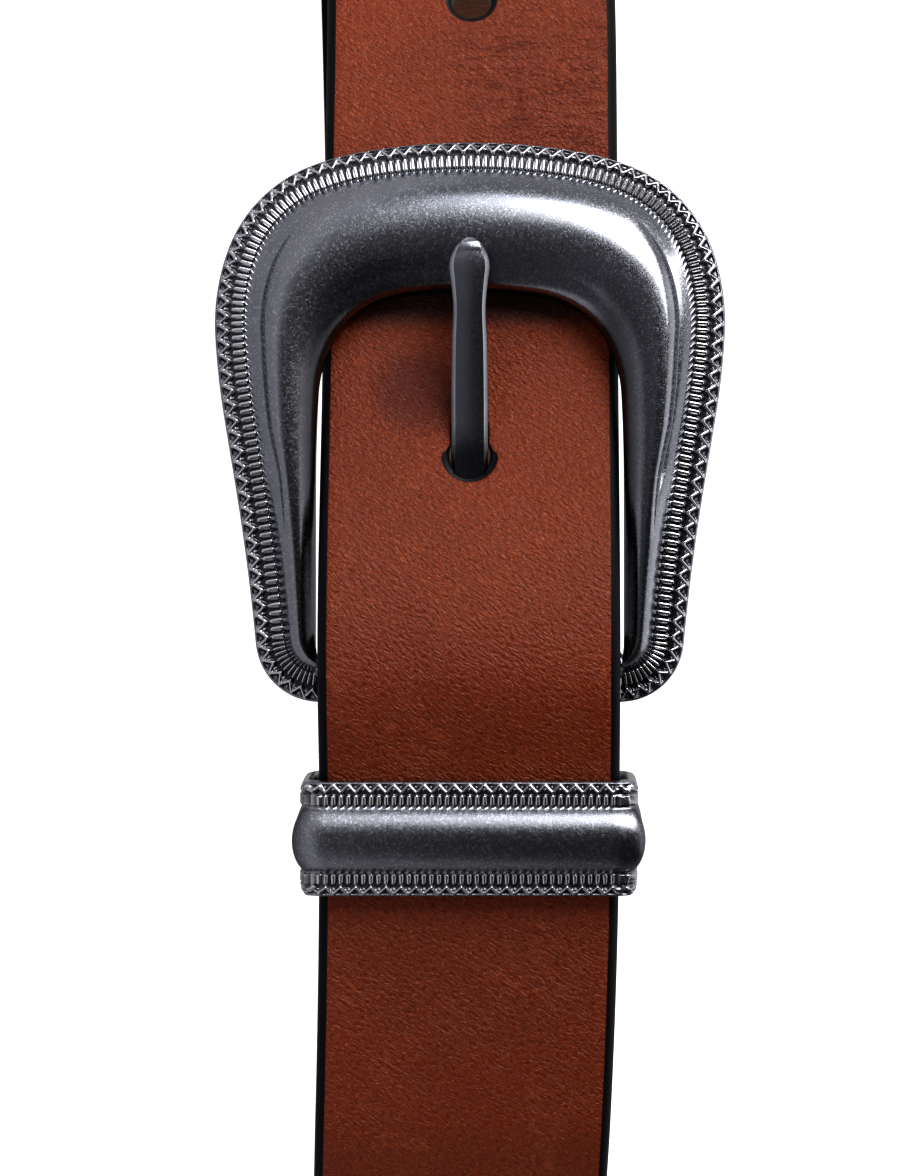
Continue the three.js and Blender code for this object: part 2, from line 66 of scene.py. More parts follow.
# Heights of the strap's layers: ramps along s that each add a rise, on a base
OVER_RAMPS = [(-10, 31, 8.5), (31, 47, -3.3), (88, 104, -1.9)]
UNDER_RAMPS = [(31, 47, -3.8), (90, 104, -1.9)]
UNDER_THICK_RAMPS = [(40, 58, 1.0)]
FOLD_THICK_RAMPS = [(31, 45, -0.4), (60, 91, -0.4)]

# Half outlines of the buckle from the middle of its top: name, radius (0 is straight), turn or length
RIM_ROWS = [
    ("top", 79.98, 10), ("brow", 33.5, 12), ("shoulder", 18.4, 50), ("cheek", 28.5, 21.5),
    ("hip", 95, 6.25), ("leg", 0, 9), ("foot", 260, -4.4), ("corner", 8.1, 84.65),
]
OPENING_ROWS = [
    ("top", 60, 8), ("brow", 14, 18), ("shoulder", 11.5, 42), ("cheek", 16, 19),
    ("hip", 200, 3), ("leg", 0, 5), ("foot", 0, 14), ("corner", 0, 2.5),
]
RIM_TOP = -35.7
OPENING_TOP = -16.2

# Tongue: place along the strap, height of the middle, half width, half depth
TONGUE_ROWS = [
    ("root", 27.6, 4.1, 2.35, 1.2), ("run", 18, 4.05, 2.35, 1.2), ("dip", 9, 4.05, 2.35, 1.2),
    ("hole", 3.5, 4.6, 2.35, 1.2), ("rise", -2.5, 6, 2.35, 1.2), ("shaft", -9, 7.8, 2.25, 1.2),
    ("neck", -13.4, 9.1, 2.1, 1.15), ("flare", -16.2, 9.75, 2.4, 1.05), ("head", -17.9, 10.05, 2.6, 1),
    ("point", -19.3, 10.15, 2.2, 0.95), ("brink", -20.5, 10.2, 1.4, 0.85), ("tip", -21.2, 10.1, 0.5, 0.55),
]
# Corners of the tongue's section in half widths and half depths, and the share of a side cut off at each
TONGUE_SECTION = [
    (1, 0.35), (0.88, 0.8), (0.12, 1.0), (-0.12, 1.0), (-0.88, 0.8), (-1, 0.35), (-1, -0.6), (-0.75, -1),
    (0.75, -1), (1, -0.6),
]
CORNER_CUT = 0.08
# The dish in the tongue's head: depth, place along the strap and reach
DISH, DISH_AT, DISH_REACH = 0.3, -18.8, 1.5
# Gap between the bar and what goes round it
BAR_GAP = 0.3
# The tongue's ring: steps round the bar, and its section by how far outside its hole and how far across
RING_STEPS = 48
RING_SECTION = [
    (0, -2.1), (0, 2.1), (0.25, 2.35), (1.25, 2.35), (1.5, 2.1), (1.5, -2.1), (1.25, -2.35), (0.25, -2.35),
]
# The bar: steps round it, how low its slim ends lie, and its rings by place across and share of its radius
BAR_STEPS, BAR_SINK = 32, 1.6
BAR_RINGS = [(-20, 0.5), (-19, 1), (19, 1), (20, 0.5)]
# Radius that stands for the axis of a turned body
AXIS = 0.001
# The fold's screws: places along the strap, sides, height of the outer head's seat, and their profile
SCREWS = {"fold_screw_near": 67, "fold_screw_far": 82}
SCREW_SIDES, SEAT = 56, 4.0
SCREW_PROFILE = [
    (AXIS, -1.05), (1.2, -1.08), (2.6, -1.04), (3.4, -0.95), (3.9, -0.7), (4.0, -0.5), (3.95, -0.32),
    (1.9, -0.3), (1.9, SEAT), (3.95, SEAT), (4.0, SEAT + 0.3), (3.6, SEAT + 0.75), (AXIS, SEAT + 0.78),
]


def size(name, about, default):
    """A length in metres that a user may change."""
    return bpy.props.FloatProperty(name=name, description=about, default=default, unit="LENGTH", precision=5)


def colour(name, about, default):
    """A linear colour."""
    return bpy.props.FloatVectorProperty(name=name, description=about, default=default, size=3,
                                         min=0, max=1, subtype="COLOR")


class WaistSizes(bpy.types.PropertyGroup):
    half_length: size("Half length", "Half of the long way of the waist oval, inside the strap", 0.16996)
    half_depth: size("Half depth", "Half of the short way of the waist oval", 0.12599)
    stands_out: size("Front stands out", "How much further the front reaches than the back", 0.00719)
    level_until: size("Level until", "Run from the buckle over which the strap stays level", 0.045)
    floor_from: size("On the floor from", "Run from the buckle at which the strap meets the floor", 0.310)


class StrapSizes(bpy.types.PropertyGroup):
    width: size("Width", "Width of the strap", 0.038)
    thick: size("Thickness", "Thickness of the leather", 0.003)
    wrap_thick: size("Thickness at the bar", "Thickness of the skived leather round the bar", 0.002)
    fold_thick: size("Fold thickness", "Thickness of the end folded inside", 0.0016)
    edge_round: size("Edge rounding", "How far the painted edge is rounded off", 0.0011)
    tip_at: size("Tip", "Run from the buckle to the tip", 0.130)
    tip_length: size("Tip length", "Length over which the tip is rounded", 0.026)
    fold_end: size("Fold end", "Run from the buckle to the end folded inside", 0.091)
    hole_spacing: size("Hole spacing", "Distance between the size holes", 0.031)
    hole_radius: size("Hole radius", "Radius of a size hole", 0.0026)
    mouth_radius: size("Mouth radius", "Radius of the burnished mouth of a hole", 0.0034)
    tongue_hole: size("Tongue hole", "Place of the hole that the tongue is in", 0.0048)
    slot_width: size("Slot width", "Width of the slot for the tongue's ring", 0.006)


class BuckleSizes(bpy.types.PropertyGroup):
    back_at_bar: size("Back at the bar", "Height of the casting's back at the bar", 0.0023)
    back_rise: size("Back rise", "How much higher the back is at the opening's top", 0.0014)
    bar_at: size("Bar", "Place of the bar along the strap", 0.031)
    bar_out: size("Bar height", "Height of the bar's middle", 0.0041)
    bar_radius: size("Bar radius", "Radius of the bar", 0.0018)
    rim_width: size("Rim width", "Width of the ornamented rim", 0.0038)
    rim_floor: size("Rim floor", "Thickness of the casting between the ornaments", 0.00135)
    relief: size("Relief", "Height of the teeth and ribs above the rim's floor", 0.0006)
    dome: size("Dome", "Rise of the rounded body above the rim's floor", 0.0038)
    teeth: bpy.props.IntProperty(name="Teeth", description="Teeth along one half of the rim", default=51)


class KeeperSizes(bpy.types.PropertyGroup):
    at: size("Place", "Middle of the keeper along the strap", 0.0518)
    half_length: size("Half length", "Half of the keeper's length along the strap", 0.0070)
    half_width: size("Inner half width", "Half of the width inside the loop", 0.01945)
    low: size("Inner low", "Height of the loop's inside next to the wearer", -0.0004)
    high: size("Inner high", "Height of the loop's inside under the front", 0.00875)
    corner: size("Inner corner", "Radius of the loop's inner corners", 0.0012)
    bulge: size("Bulge", "Thickness of the barrel at its crown on the two sides", 0.0026)
    front_bulge: size("Front bulge", "How much thicker the barrel's crown is in front", 0.0013)


class BeltColours(bpy.types.PropertyGroup):
    leather: colour("Leather", "Main colour of the strap", (0.245, 0.045, 0.011))
    # Also the colour of painted shade: beside the tongue and in the creases of the wrinkles by the top hole
    leather_deep: colour("Leather, deep", "Darker patches and the bottom of creases", (0.10, 0.014, 0.0055))
    leather_worn: colour("Leather, worn", "Paler tops of the grain", (0.55, 0.15, 0.055))
    flesh: colour("Flesh side", "Inner side of the strap", (0.17, 0.075, 0.042))
    paint: colour("Edge paint", "Painted edges and hole walls", (0.006, 0.006, 0.008))
    silver: colour("Silver", "Smooth parts of the castings", (0.29, 0.295, 0.325))
    bright: colour("Worn silver", "Rubbed tops of the ornament", (0.72, 0.72, 0.73))
    # Also the colour of painted shade on the castings: the bar, the opening's wall, the legs' inner body, the
    # tongue and the keeper's ends
    patina_and_shade_tone: colour("Patina", "Darkening in the hollows of the castings", (0.03, 0.03, 0.035))
    floor: colour("Floor", "The pale floor", (0.60, 0.60, 0.60))


SETS = {
    "belt_waist": WaistSizes, "belt_strap": StrapSizes, "belt_buckle": BuckleSizes,
    "belt_keeper": KeeperSizes, "belt_colours": BeltColours,
}


def in_mm(group):
    """The lengths of a property group as a plain object, in millimetres."""
    values = {}
    for name in group.bl_rna.properties.keys():
        value = getattr(group, name)
        if isinstance(value, float):
            values[name] = value / MM
        elif isinstance(value, int):
            values[name] = value
    return type("Sizes", (), values)


class Waist:
    """The oval that the flat layout is bent round, and the climb from the floor to the buckle."""

    def __init__(self, scene):
        self.sizes = in_mm(scene.belt_waist)
        self.angle = np.linspace(0, 2 * np.pi, OVAL_STEPS + 1)
        speed = np.hypot(*self.tangent(self.angle))
        steps = (speed[1:] + speed[:-1]) / 2 * np.diff(self.angle)
        self.run = np.concatenate([[0], np.cumsum(steps)])
        self.loop = self.run[-1]
        self.strap_half = in_mm(scene.belt_strap).width / 2
        low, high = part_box("buckle_frame")
        self.lift = (low.z + high.z) / 2 / MM - self.strap_half

    def tangent(self, angle):
        """The oval's derivative by its angle."""
        return np.stack([self.sizes.half_length * np.cos(angle), self.sizes.half_depth * np.sin(angle)])

    def place(self, s, w, v):
        """The oval's point at arc length s, moved out along its normal by v, and up to w above the strap's
        middle line, which eases from the floor up to the buckle."""
        u = np.mod(s, self.loop)
        angle = np.interp(u, self.run, self.angle)
        x, y = self.sizes.half_length * np.sin(angle), -self.sizes.half_depth * np.cos(angle)
        along = self.tangent(angle)
        along = along / np.hypot(*along)
        away = np.minimum(u, self.loop - u)
        climb = 1 - ease((away - self.sizes.level_until) / (self.sizes.floor_from - self.sizes.level_until))
        z = self.strap_half + self.lift * climb + w
        return np.stack([x + along[1] * v, y - along[0] * v + self.sizes.stands_out / 2, z], axis=-1) * MM


def ease(t):
    """The cubic that leaves 0 and reaches 1 level."""
    t = np.clip(t, 0, 1)
    return t * t * (3 - 2 * t)


def ramps(base, rows, s):
    """A height that changes only along the listed ramps."""
    height = np.full_like(np.asarray(s, float), base)
    for start, end, rise in rows:
        height = height + rise * ease((s - start) / (end - start))
    return height


def mesh_object(name, points, faces, smooth=True):
    """A mesh object from points in metres and rows of corner numbers."""
    mesh = bpy.data.meshes.new(name)
    mesh.from_pydata(points.reshape(-1, 3).tolist(), [], faces)
    mesh.polygons.foreach_set("use_smooth", np.full(len(mesh.polygons), smooth))
    mesh.update()
    made = bpy.data.objects.new(name, mesh)
    bpy.context.scene.collection.objects.link(made)
    return made


def grid_faces(rows, columns, wrap_rows=False, caps=False):
    """Corner numbers of a grid whose columns close on themselves, its rows or caps at its ends if asked."""
    i = np.arange(rows if wrap_rows else rows - 1)[:, None]
    j = np.arange(columns)[None, :]
    up, beside = (i + 1) % rows, (j + 1) % columns
    corners = [i * columns + j, i * columns + beside, up * columns + beside, up * columns + j]
    faces = np.stack(np.broadcast_arrays(*corners), axis=-1).reshape(-1, 4).tolist()
    if caps:
        faces.append(np.arange(columns)[::-1].tolist())
        faces.append((np.arange(columns) + (rows - 1) * columns).tolist())
    return faces


def closed_body(name, points, **closed):
    """A closed body on a grid of points, with its faces turned round if their volume is negative."""
    made = mesh_object(name, points, grid_faces(*points.shape[:2], **closed))
    mesh = made.data
    mesh.calc_loop_triangles()
    corners = np.empty(len(mesh.loop_triangles) * 3, np.int32)
    mesh.loop_triangles.foreach_get("vertices", corners)
    places = np.empty(len(mesh.vertices) * 3)
    mesh.vertices.foreach_get("co", places)
    a, b, c = places.reshape(-1, 3)[corners.reshape(-1, 3)].transpose(1, 0, 2)
    if np.einsum("ij,ij->", a, np.cross(b, c)) < 0:
        mesh.flip_normals()
    return made


def keep_value(made, name, values):
    """Stores one number for each vertex, or the same for all."""
    attribute = made.data.attributes.new(name, "FLOAT", "POINT")
    values = np.ravel(values) + np.zeros(len(attribute.data))
    attribute.data.foreach_set("value", values.astype(np.float32))


def keep_uv(made, name, values):
    """Stores a pair of numbers for each vertex as a UV map."""
    layer = made.data.uv_layers.new(name=name)
    corners = np.empty(len(made.data.loops), np.int32)
    made.data.loops.foreach_get("vertex_index", corners)
    layer.data.foreach_set("uv", values.reshape(-1, 2)[corners].astype(np.float32).ravel())


def combine(made, operation, others, material_mode="INDEX"):
    """Unites closed bodies with a body or takes them out of it. With the mode TRANSFER the walls that they
    leave get their materials."""
    for other in others:
        step = made.modifiers.new("combine", "BOOLEAN")
        step.operation, step.solver, step.object = operation, "EXACT", other
        step.material_mode = material_mode
    graph = bpy.context.evaluated_depsgraph_get()
    result = bpy.data.meshes.new_from_object(made.evaluated_get(graph), depsgraph=graph)
    made.modifiers.clear()
    made.data = result
    for other in others:
        bpy.data.objects.remove(other)


def settle(made, material, slot_name, *nodes):
    """Gives a finished piece its material and lets it stand for its CAD nodes. slot_name is not used."""
    if material.name not in made.data.materials:
        made.data.materials.append(material)
    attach(made, "root")
    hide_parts(*nodes)


def turned(waist, name, s, profile, sides):
    """A profile of radius and height turned round an axis that stands along v at s."""
    radius, height = np.array(profile, float).T
    angle = np.linspace(0, 2 * np.pi, sides, endpoint=False)
    points = waist.place(
        s + radius[:, None] * np.cos(angle), radius[:, None] * np.sin(angle),
        np.broadcast_to(height[:, None], (len(radius), sides)))
    return closed_body(name, points, caps=True)


def turns_and_lengths(rows):
    """Turn and length of each row of an outline."""
    turns = [math.radians(amount) if radius else 0.0 for _, radius, amount in rows]
    lengths = [radius * abs(turn) if radius else amount for turn, (_, radius, amount) in zip(turns, rows)]
    return np.array(turns), np.array(lengths)


def walked(heading, turn, length):
    """The way along an arc: its chord, length sin(turn / 2) / (turn / 2), points along the mean heading."""
    chord = length * np.sinc(turn / 2 / np.pi)
    return np.stack([chord * np.cos(heading + turn / 2), chord * np.sin(heading + turn / 2)])


def outline(rows, top, at):
    """Places and headings on half an outline, whose rows are arcs of constant turn, or straight where the
    radius is 0, walked in order. at holds a row's number plus the share walked along it."""
    turn, length = turns_and_lengths(rows)
    heading = np.cumsum(turn) - turn
    steps = walked(heading, turn, length)
    starts = np.cumsum(steps, axis=1) - steps + [[0.0], [top]]
    number = np.clip(np.floor(at).astype(int), 0, len(rows) - 1)
    turn, length = turn[number] * (at - number), length[number] * (at - number)
    a, b = starts[:, number] + walked(heading[number], turn, length)
    return a, b, heading[number] + turn


# The low bevel along the flanks of the buckle's body: reach, rise and largest share of the body's width
BEVEL_REACH, BEVEL_RISE, BEVEL_SHARE = 2.9, 1.15, 0.33
# Columns of the mesh across the bevel
BEVEL_COLUMNS = np.array([0.06, 0.35, 0.65, 0.82, 0.9, 0.95, 1.0])
# Columns of the mesh across the rest of the body
BODY_COLUMNS = np.array([
    0.015, 0.03, 0.05, 0.08, 0.12, 0.17, 0.23, 0.31, 0.4, 0.49, 0.58, 0.66, 0.73, 0.79, 0.85, 0.91, 0.96, 1,
])
# Depth and reach of the crease behind the bevel
CREASE, CREASE_REACH = 0.1, 0.5
# Width over which the body's crest grows, and the share of the crest that is left at the opening
CREST_WIDTH, CREST_LEFT = 4, 0.3
# The hollow behind the lip round the opening: share of the body's width, depth and reach
LIP_AT, LIP, LIP_REACH = 0.86, 0.3, 0.7
# Insets from a rim's edge: points and valleys of the teeth, then ends of the ribs
TOOTH_POINT, TOOTH_VALLEY = 0.46, 1.65
RIB_OUTER, RIB_INNER = 2.05, 3.8
# Half widths of the zigzag ridge and of a rib at its outer end, and what the rib gains inwards
RIDGE_HALF, RIB_HALF, RIB_GAIN = 0.3, 0.3, 0.1
# Insets, sizes and heights of the pyramid under each point and of the bead in each valley
PYRAMID_AT, PYRAMID_SIZE, PYRAMID_HIGH = 1.22, 0.42, 0.9
BEAD_AT, BEAD_SIZE, BEAD_HIGH = 1.62, 0.2, 0.6
# Inset at which the relief starts, and over which it grows
RELIEF_AT, RELIEF_OVER = 0.3, 0.1
# Steps of the mesh to a tooth
TOOTH_STEPS = 14
# The buckle rim's floor, a lip at the edge and ground that rises inwards: inset from its edge and height
RIM_SLOPE = [(0.06, 0.95), (0.15, 1.12), (0.26, 1.18), (0.34, 1.12), (0.42, 0.88), (1.5, 1.35)]
# The keeper's bands: pitch and relief of their teeth, how much narrower than the buckle's they are, floor
KEEPER_PITCH, KEEPER_RELIEF, KEEPER_FINER = 1.9, 0.5, 1.32
KEEPER_SLOPE = [(0, 1.0), (0.08, 1.3), (0.18, 1.45), (0.3, 1.45), (0.38, 1.15), (1.2, 1.4)]
# Inset of the keeper's barrel, and thickness at the barrel's foot, of the plain back and at the back's edge
KEEPER_BAND, BARREL_FOOT, KEEPER_BACK, BACK_EDGE = 3.0, 1.4, 1.2, 0.9
# Length over which the back of the buckle rises
BACK_RUN = 47


def rim_relief(tooth, inset, pitch, height):
    """Cast relief at a place counted in teeth along the rim and an inset from its edge, and a mask that rises
    from 0 at the zigzag to 1 inside it. Teeth are a zigzag ridge that falls off evenly to both sides, with a
    pyramid under each point and half a ball in each valley. Two ribs to a tooth are bars with round ends."""
    from_point = np.abs((tooth + 0.5) % 1 - 0.5)
    slope = TOOTH_VALLEY - TOOTH_POINT
    line = TOOTH_POINT + 2 * from_point * slope
    slant = math.cos(math.atan(slope / (pitch / 2)))
    ridge = np.clip(1.3 - np.abs(inset - line) * slant / RIDGE_HALF, 0, 1)
    pyramid = np.clip(1 - (from_point * pitch + np.abs(inset - PYRAMID_AT)) / PYRAMID_SIZE, 0, 1)
    from_valley = (0.5 - from_point) * pitch
    bead = np.sqrt(np.clip(1 - (np.hypot(from_valley, inset - BEAD_AT) / BEAD_SIZE) ** 2, 0, 1))
    from_rib = np.abs((2 * tooth + 0.5) % 1 - 0.5) * pitch / 2
    half = RIB_HALF + RIB_GAIN * np.clip((inset - RIB_OUTER) / (RIB_INNER - RIB_OUTER), 0, 1)
    middle, reach = (RIB_OUTER + RIB_INNER) / 2, (RIB_INNER - RIB_OUTER) / 2 - RIB_HALF
    bar = np.hypot(from_rib, np.maximum(np.abs(inset - middle) - reach, 0))
    rib = np.sqrt(np.clip(1.5 - 1.5 * (bar / half) ** 2, 0, 1))
    top = np.maximum.reduce([ridge, PYRAMID_HIGH * pyramid, BEAD_HIGH * bead, rib])
    return height * top, ease((inset - line) / 0.2)


def dome_rise(x, width, side, rise):
    """A fat rounded body from x = 0 at the rim to x = 1 at the opening. From its crest, the rise times
    tanh(width / CREST_WIDTH), it falls as a superellipse to nothing at the rim and to CREST_LEFT of the crest
    at the opening. Where side is 1, a low bevel runs along its flank and the body starts behind a crease."""
    crest = rise * np.tanh(width / CREST_WIDTH)
    away = np.abs(x - 0.5) / 0.5
    outer = crest * np.clip(1 - away**2, 0, 1) ** 0.9
    inner = crest * (CREST_LEFT + (1 - CREST_LEFT) * np.clip(1 - away**2.1, 0, 1) ** 0.62)
    inner = inner - LIP * (1 - 0.6 * side) * np.exp(-((x - LIP_AT) * width / LIP_REACH) ** 2)
    bevel = np.minimum(BEVEL_REACH / width, BEVEL_SHARE)
    climb = np.clip((0.5 - x) / (0.5 - bevel), 0, 1)
    stepped = BEVEL_RISE + (crest - BEVEL_RISE) * (1 - climb**3.2) ** 0.75
    stepped = np.where(x < bevel, BEVEL_RISE * x / bevel, stepped)
    crease = CREASE * np.exp(-((x - bevel) * width / CREASE_REACH) ** 2)
    flank = outer + side * (stepped - crease - outer)
    return np.where(x < 0.5, flank, inner)


def polished(up, relief):
    """Wear on the relief: none up to half of its height, all from 0.85 of it."""
    return ease((up / relief - 0.5) / 0.35)


def tarnished(up, inside, most, inset, fade_at, fade_over):
    """Patina on a rim: a trace, and most of it from the zigzag inwards as far as it fades, but none on the
    relief from 0.22 mm up."""
    return (0.05 + most * inside * (1 - ease((inset - fade_at) / fade_over))) * (1 - ease((up - 0.02) / 0.2))


class Wire:
    """A shader socket whose arithmetic adds Math nodes to its tree."""

    def __init__(self, bench, socket):
        self.bench, self.socket = bench, socket

    def maths(self, operation, *values):
        inputs = dict(enumerate((self, *values)))
        return self.bench.node("ShaderNodeMath", {"operation": operation}, inputs)

    def __add__(self, other):
        return self.maths("ADD", other)

    def __sub__(self, other):
        return self.maths("SUBTRACT", other)

    def __rsub__(self, other):
        return self.bench.node("ShaderNodeMath", {"operation": "SUBTRACT"}, {0: other, 1: self})

    def __mul__(self, other):
        return self.maths("MULTIPLY", other)

    def __abs__(self):
        return self.maths("ABSOLUTE")

    def between(self, low, high):
        """0 below low and 1 above high, eased between."""
        return self.bench.node(
            "ShaderNodeMapRange", {"interpolation_type": "SMOOTHSTEP"},
            {"Value": self, "From Min": low, "From Max": high})

    __radd__, __rmul__ = __add__, __mul__


class Bench:
    """A material or a world under construction."""

    def __init__(self, owner):
        self.owner = owner
        owner.use_nodes = True
        self.tree = owner.node_tree
        self.tree.nodes.clear()

    def node(self, kind, settings=None, inputs=None, out=0):
        """Adds a node: its settings first, then values or wires for its sockets."""
        made = self.tree.nodes.new(kind)
        for name, value in (settings or {}).items():
            setattr(made, name, value)
        for name, value in (inputs or {}).items():
            if isinstance(value, Wire):
                self.tree.links.new(value.socket, made.inputs[name])
            else:
                made.inputs[name].default_value = value
        return Wire(self, made.outputs[out]) if made.outputs else None

    def blend(self, share_of_second, first, second):
        """Mixes two colours or colour wires."""
        colours = [c if isinstance(c, Wire) else (*c, 1) for c in (first, second)]
        return self.node("ShaderNodeMix", {"data_type": "RGBA"},
                         {0: share_of_second, 6: colours[0], 7: colours[1]}, out=2)

    def moved(self, place, scale, turn=0.0):
        """A place scaled along its axes after a turn about Z."""
        return self.node("ShaderNodeMapping", {"vector_type": "TEXTURE" if turn else "POINT"},
                         {"Vector": place, "Scale": scale, "Rotation": (0, 0, turn)})

    def noise(self, place, scale, detail, rough=0.55):
        return self.node("ShaderNodeTexNoise", {},
                         {"Vector": place, "Scale": scale, "Detail": detail, "Roughness": rough})

    def veins(self, place, scale, detail, start):
        """Thin lines along which a noise passes its middle value."""
        return (1 - abs(self.noise(place, scale, detail, 0.6) - 0.5) * 2).between(start, 1.0)

    def object_place(self):
        """The place on the object, the fourth output of the texture coordinates."""
        return self.node("ShaderNodeTexCoord", out=3)

    def part(self, place, axis=0):
        """One coordinate of a place."""
        return self.node("ShaderNodeSeparateXYZ", {}, {"Vector": place}, out=axis)

    def value_kept(self, name):
        """A number stored with the mesh, the third output of an attribute."""
        return self.node("ShaderNodeAttribute", {"attribute_name": name}, out=2)

    def bump(self, height, distance, strength=1.0):
        return self.node("ShaderNodeBump", {}, {"Height": height, "Distance": distance, "Strength": strength})

    def gloss(self, fixed, **linked):
        """A Principled shader with fixed values and linked ones."""
        inputs = {**fixed, **{name.replace("_", " "): wire for name, wire in linked.items()}}
        return self.node("ShaderNodeBsdfPrincipled", {}, inputs)

    def either(self, share_of_second, first, second):
        """Mixes two shaders."""
        return self.node("ShaderNodeMixShader", {}, {0: share_of_second, 1: first, 2: second})

    def done(self, shader, kind="ShaderNodeOutputMaterial"):
        """Sends a shader to the output and hands the material or world over."""
        self.node(kind, {}, {"Surface": shader})
        return self.owner


# Places on the strap in metres: the painted shade beside and below the buckle's middle, with the squared
# distances over which it fades, the end of the wrinkles, the painted shadow band under the top rail, and the
# start of the edge paint
SHADE_BESIDE, SHADE_BELOW, SHADE_FADE = 0.0068, 0.0047, (0.000002, 0.00005)
WRINKLES_END = (-0.030, -0.012)
SHADOW_BAND_START, SHADOW_BAND_END = (-0.034, -0.030), (-0.0158, -0.0125)
PAINT_START = (0.01772, 0.01786)


def shaded(tone, times):
    """A colour made darker or lighter."""
    return [min(1, part * times) for part in tone]


def leather_finish(colours):
    """Leather with a slanting pebble, pale creases, wrinkles by the top hole with painted shade in their
    creases, painted shade beside the tongue and a painted shadow band under the buckle's top rail. Its edges
    are painted black and its flesh side is plain."""
    bench = Bench(bpy.data.materials.new("pebbled_leather"))
    flat = bench.node("ShaderNodeUVMap", {"uv_map": "flat"})
    face = bench.part(bench.node("ShaderNodeUVMap", {"uv_map": "side"}))
    run, across = bench.part(flat), bench.part(flat, 1)
    slant = bench.moved(flat, (1, 2.3, 1), math.radians(-32))
    pebble = bench.noise(slant, 2500, 3, 0.6).between(0.3, 0.7)
    fine = bench.noise(slant, 4400, 2)
    wander = bench.noise(flat, 75, 4, 0.6)
    patches = bench.noise(flat, 24, 3, 0.5)
    creases = bench.veins(bench.moved(flat, (1, 5, 1), math.radians(-40)), 900, 2, 0.93)
    creases = creases * wander.between(0.45, 0.62)
    near_top_hole = 1 - run.between(*WRINKLES_END)
    wrinkles = bench.veins(bench.moved(flat, (1, 0.25, 1)), 620, 3, 0.95) * near_top_hole
    wrinkles = wrinkles * patches.between(0.4, 0.6)
    beside, below = across + SHADE_BESIDE, run + SHADE_BELOW
    painted_shade_by_tongue = 1 - (beside * beside + below * below).between(*SHADE_FADE)
    painted_shadow_band = (1 - run.between(*SHADOW_BAND_END)) * run.between(*SHADOW_BAND_START)
    tone = colours.leather
    for amount, layer in [
        (patches.between(0.30, 0.72) * 0.3, colours.leather_deep),
        ((1 - pebble).between(0.5, 1.0) * 0.4, colours.leather_deep),
        (fine.between(0.58, 0.72) * 0.7, colours.leather_worn),
        # Wrinkles by the top hole, darkened with painted shade in their creases
        (wrinkles * 0.75, colours.leather_deep),
        (creases * 0.28, colours.leather_worn),
        # Painted shade: a dark patch beside and below the tongue, where the buckle shades the strap
        (painted_shade_by_tongue * 0.7, colours.leather_deep),
        # Painted shadow: a near-black band under the buckle's top rail
        (painted_shadow_band * 0.8, colours.paint),
    ]:
        tone = bench.blend(amount, tone, layer)
    flesh = bench.blend(fine, shaded(colours.flesh, 0.7), colours.flesh)
    normal = bench.bump(pebble * 0.8 + fine * 0.9 + creases * 0.35 - wrinkles * 0.4, 0.00014)
    leather = bench.gloss({"Specular IOR Level": 0.38}, Base_Color=bench.blend(face, flesh, tone),
                          Normal=normal, Roughness=0.26 + pebble * 0.08 + (1 - face) * 0.3)
    coat_tone = bench.blend(fine, colours.paint, shaded(colours.paint, 1.6))
    coat = bench.gloss({"Specular IOR Level": 0.16}, Base_Color=coat_tone, Roughness=0.5 + fine * 0.1,
                       Normal=bench.bump(fine, 0.00005, 0.6))
    painted = (abs(across) + (wander - 0.5) * 0.00012).between(*PAINT_START)
    return bench.done(bench.either(painted, leather, coat))


def paint_finish(colours):
    """Black edge paint on the walls of the holes."""
    bench = Bench(bpy.data.materials.new("black_edge_paint"))
    wear = bench.noise(bench.object_place(), 900, 3)
    tone = bench.blend(wear, colours.paint, shaded(colours.paint, 1.8))
    return bench.done(bench.gloss({"Specular IOR Level": 0.25}, Base_Color=tone, Roughness=0.4 + wear * 0.2,
                                  Normal=bench.bump(wear, 0.00003)))


def silver_finish(name, colours, gloss, grit, pale=1.0):
    """Antique silver, bright where it is worn, dark with patina in the hollows and with painted shade where
    the pieces mark it. gloss is its roughness where it is smoothest, grit the strength of its fine pits and
    flecks, and pale how much lighter it is."""
    bench = Bench(bpy.data.materials.new(name))
    silver = shaded(colours.silver, pale)
    place = bench.object_place()
    hollow, worn = bench.value_kept("hollow"), bench.value_kept("worn")
    fine = bench.noise(place, 6000, 3, 0.7)
    flecks = bench.node("ShaderNodeTexVoronoi", {"feature": "F1"}, {"Vector": place, "Scale": 5200}, out=1)
    fleck = bench.node("ShaderNodeSeparateColor", {}, {"Color": flecks})
    clouds = bench.noise(place, 260, 4, 0.6)
    scratch = bench.noise(bench.moved(place, (1, 9, 1), math.radians(35)), 900, 2, 0.6)
    tone = bench.blend(clouds.between(0.3, 0.75) * 0.25, silver, shaded(silver, 0.68))
    tone = bench.blend(fleck.between(0.74, 1.0) * (0.4 * grit), tone, shaded(silver, 1.9))
    # Darkened towards the patina colour: real patina in the relief's hollows, painted shade elsewhere
    tone = bench.blend(hollow * 0.85, tone, colours.patina_and_shade_tone)
    tone = bench.blend(worn * 0.8, tone, colours.bright)
    normal = bench.bump(fine * 0.45 + fleck * 0.4 + scratch * 0.4, 0.000006 * grit)
    rough = gloss + fleck * 0.08 + clouds * 0.06 + hollow * 0.1 - worn * 0.06
    return bench.done(bench.gloss({"Metallic": 1.0}, Base_Color=tone, Roughness=rough, Normal=normal))


# Steps of the strap's mesh: of the tip's last part, close ones as far as NEAR_UNTIL, wide ones round the back
# to UNDER_FROM past the fold's end, then of the under layer, of the turn round the bar and of the fold
TIP_LAST, TIP_STEPS, NEAR_STEP, NEAR_UNTIL, BACK_STEPS = 3, 8, 0.9, -64, 260
UNDER_FROM, UNDER_STEP, UNDER_UNTIL, WRAP_STEPS, FOLD_STEP = 16, 1.1, 0.4, 25, 1.5


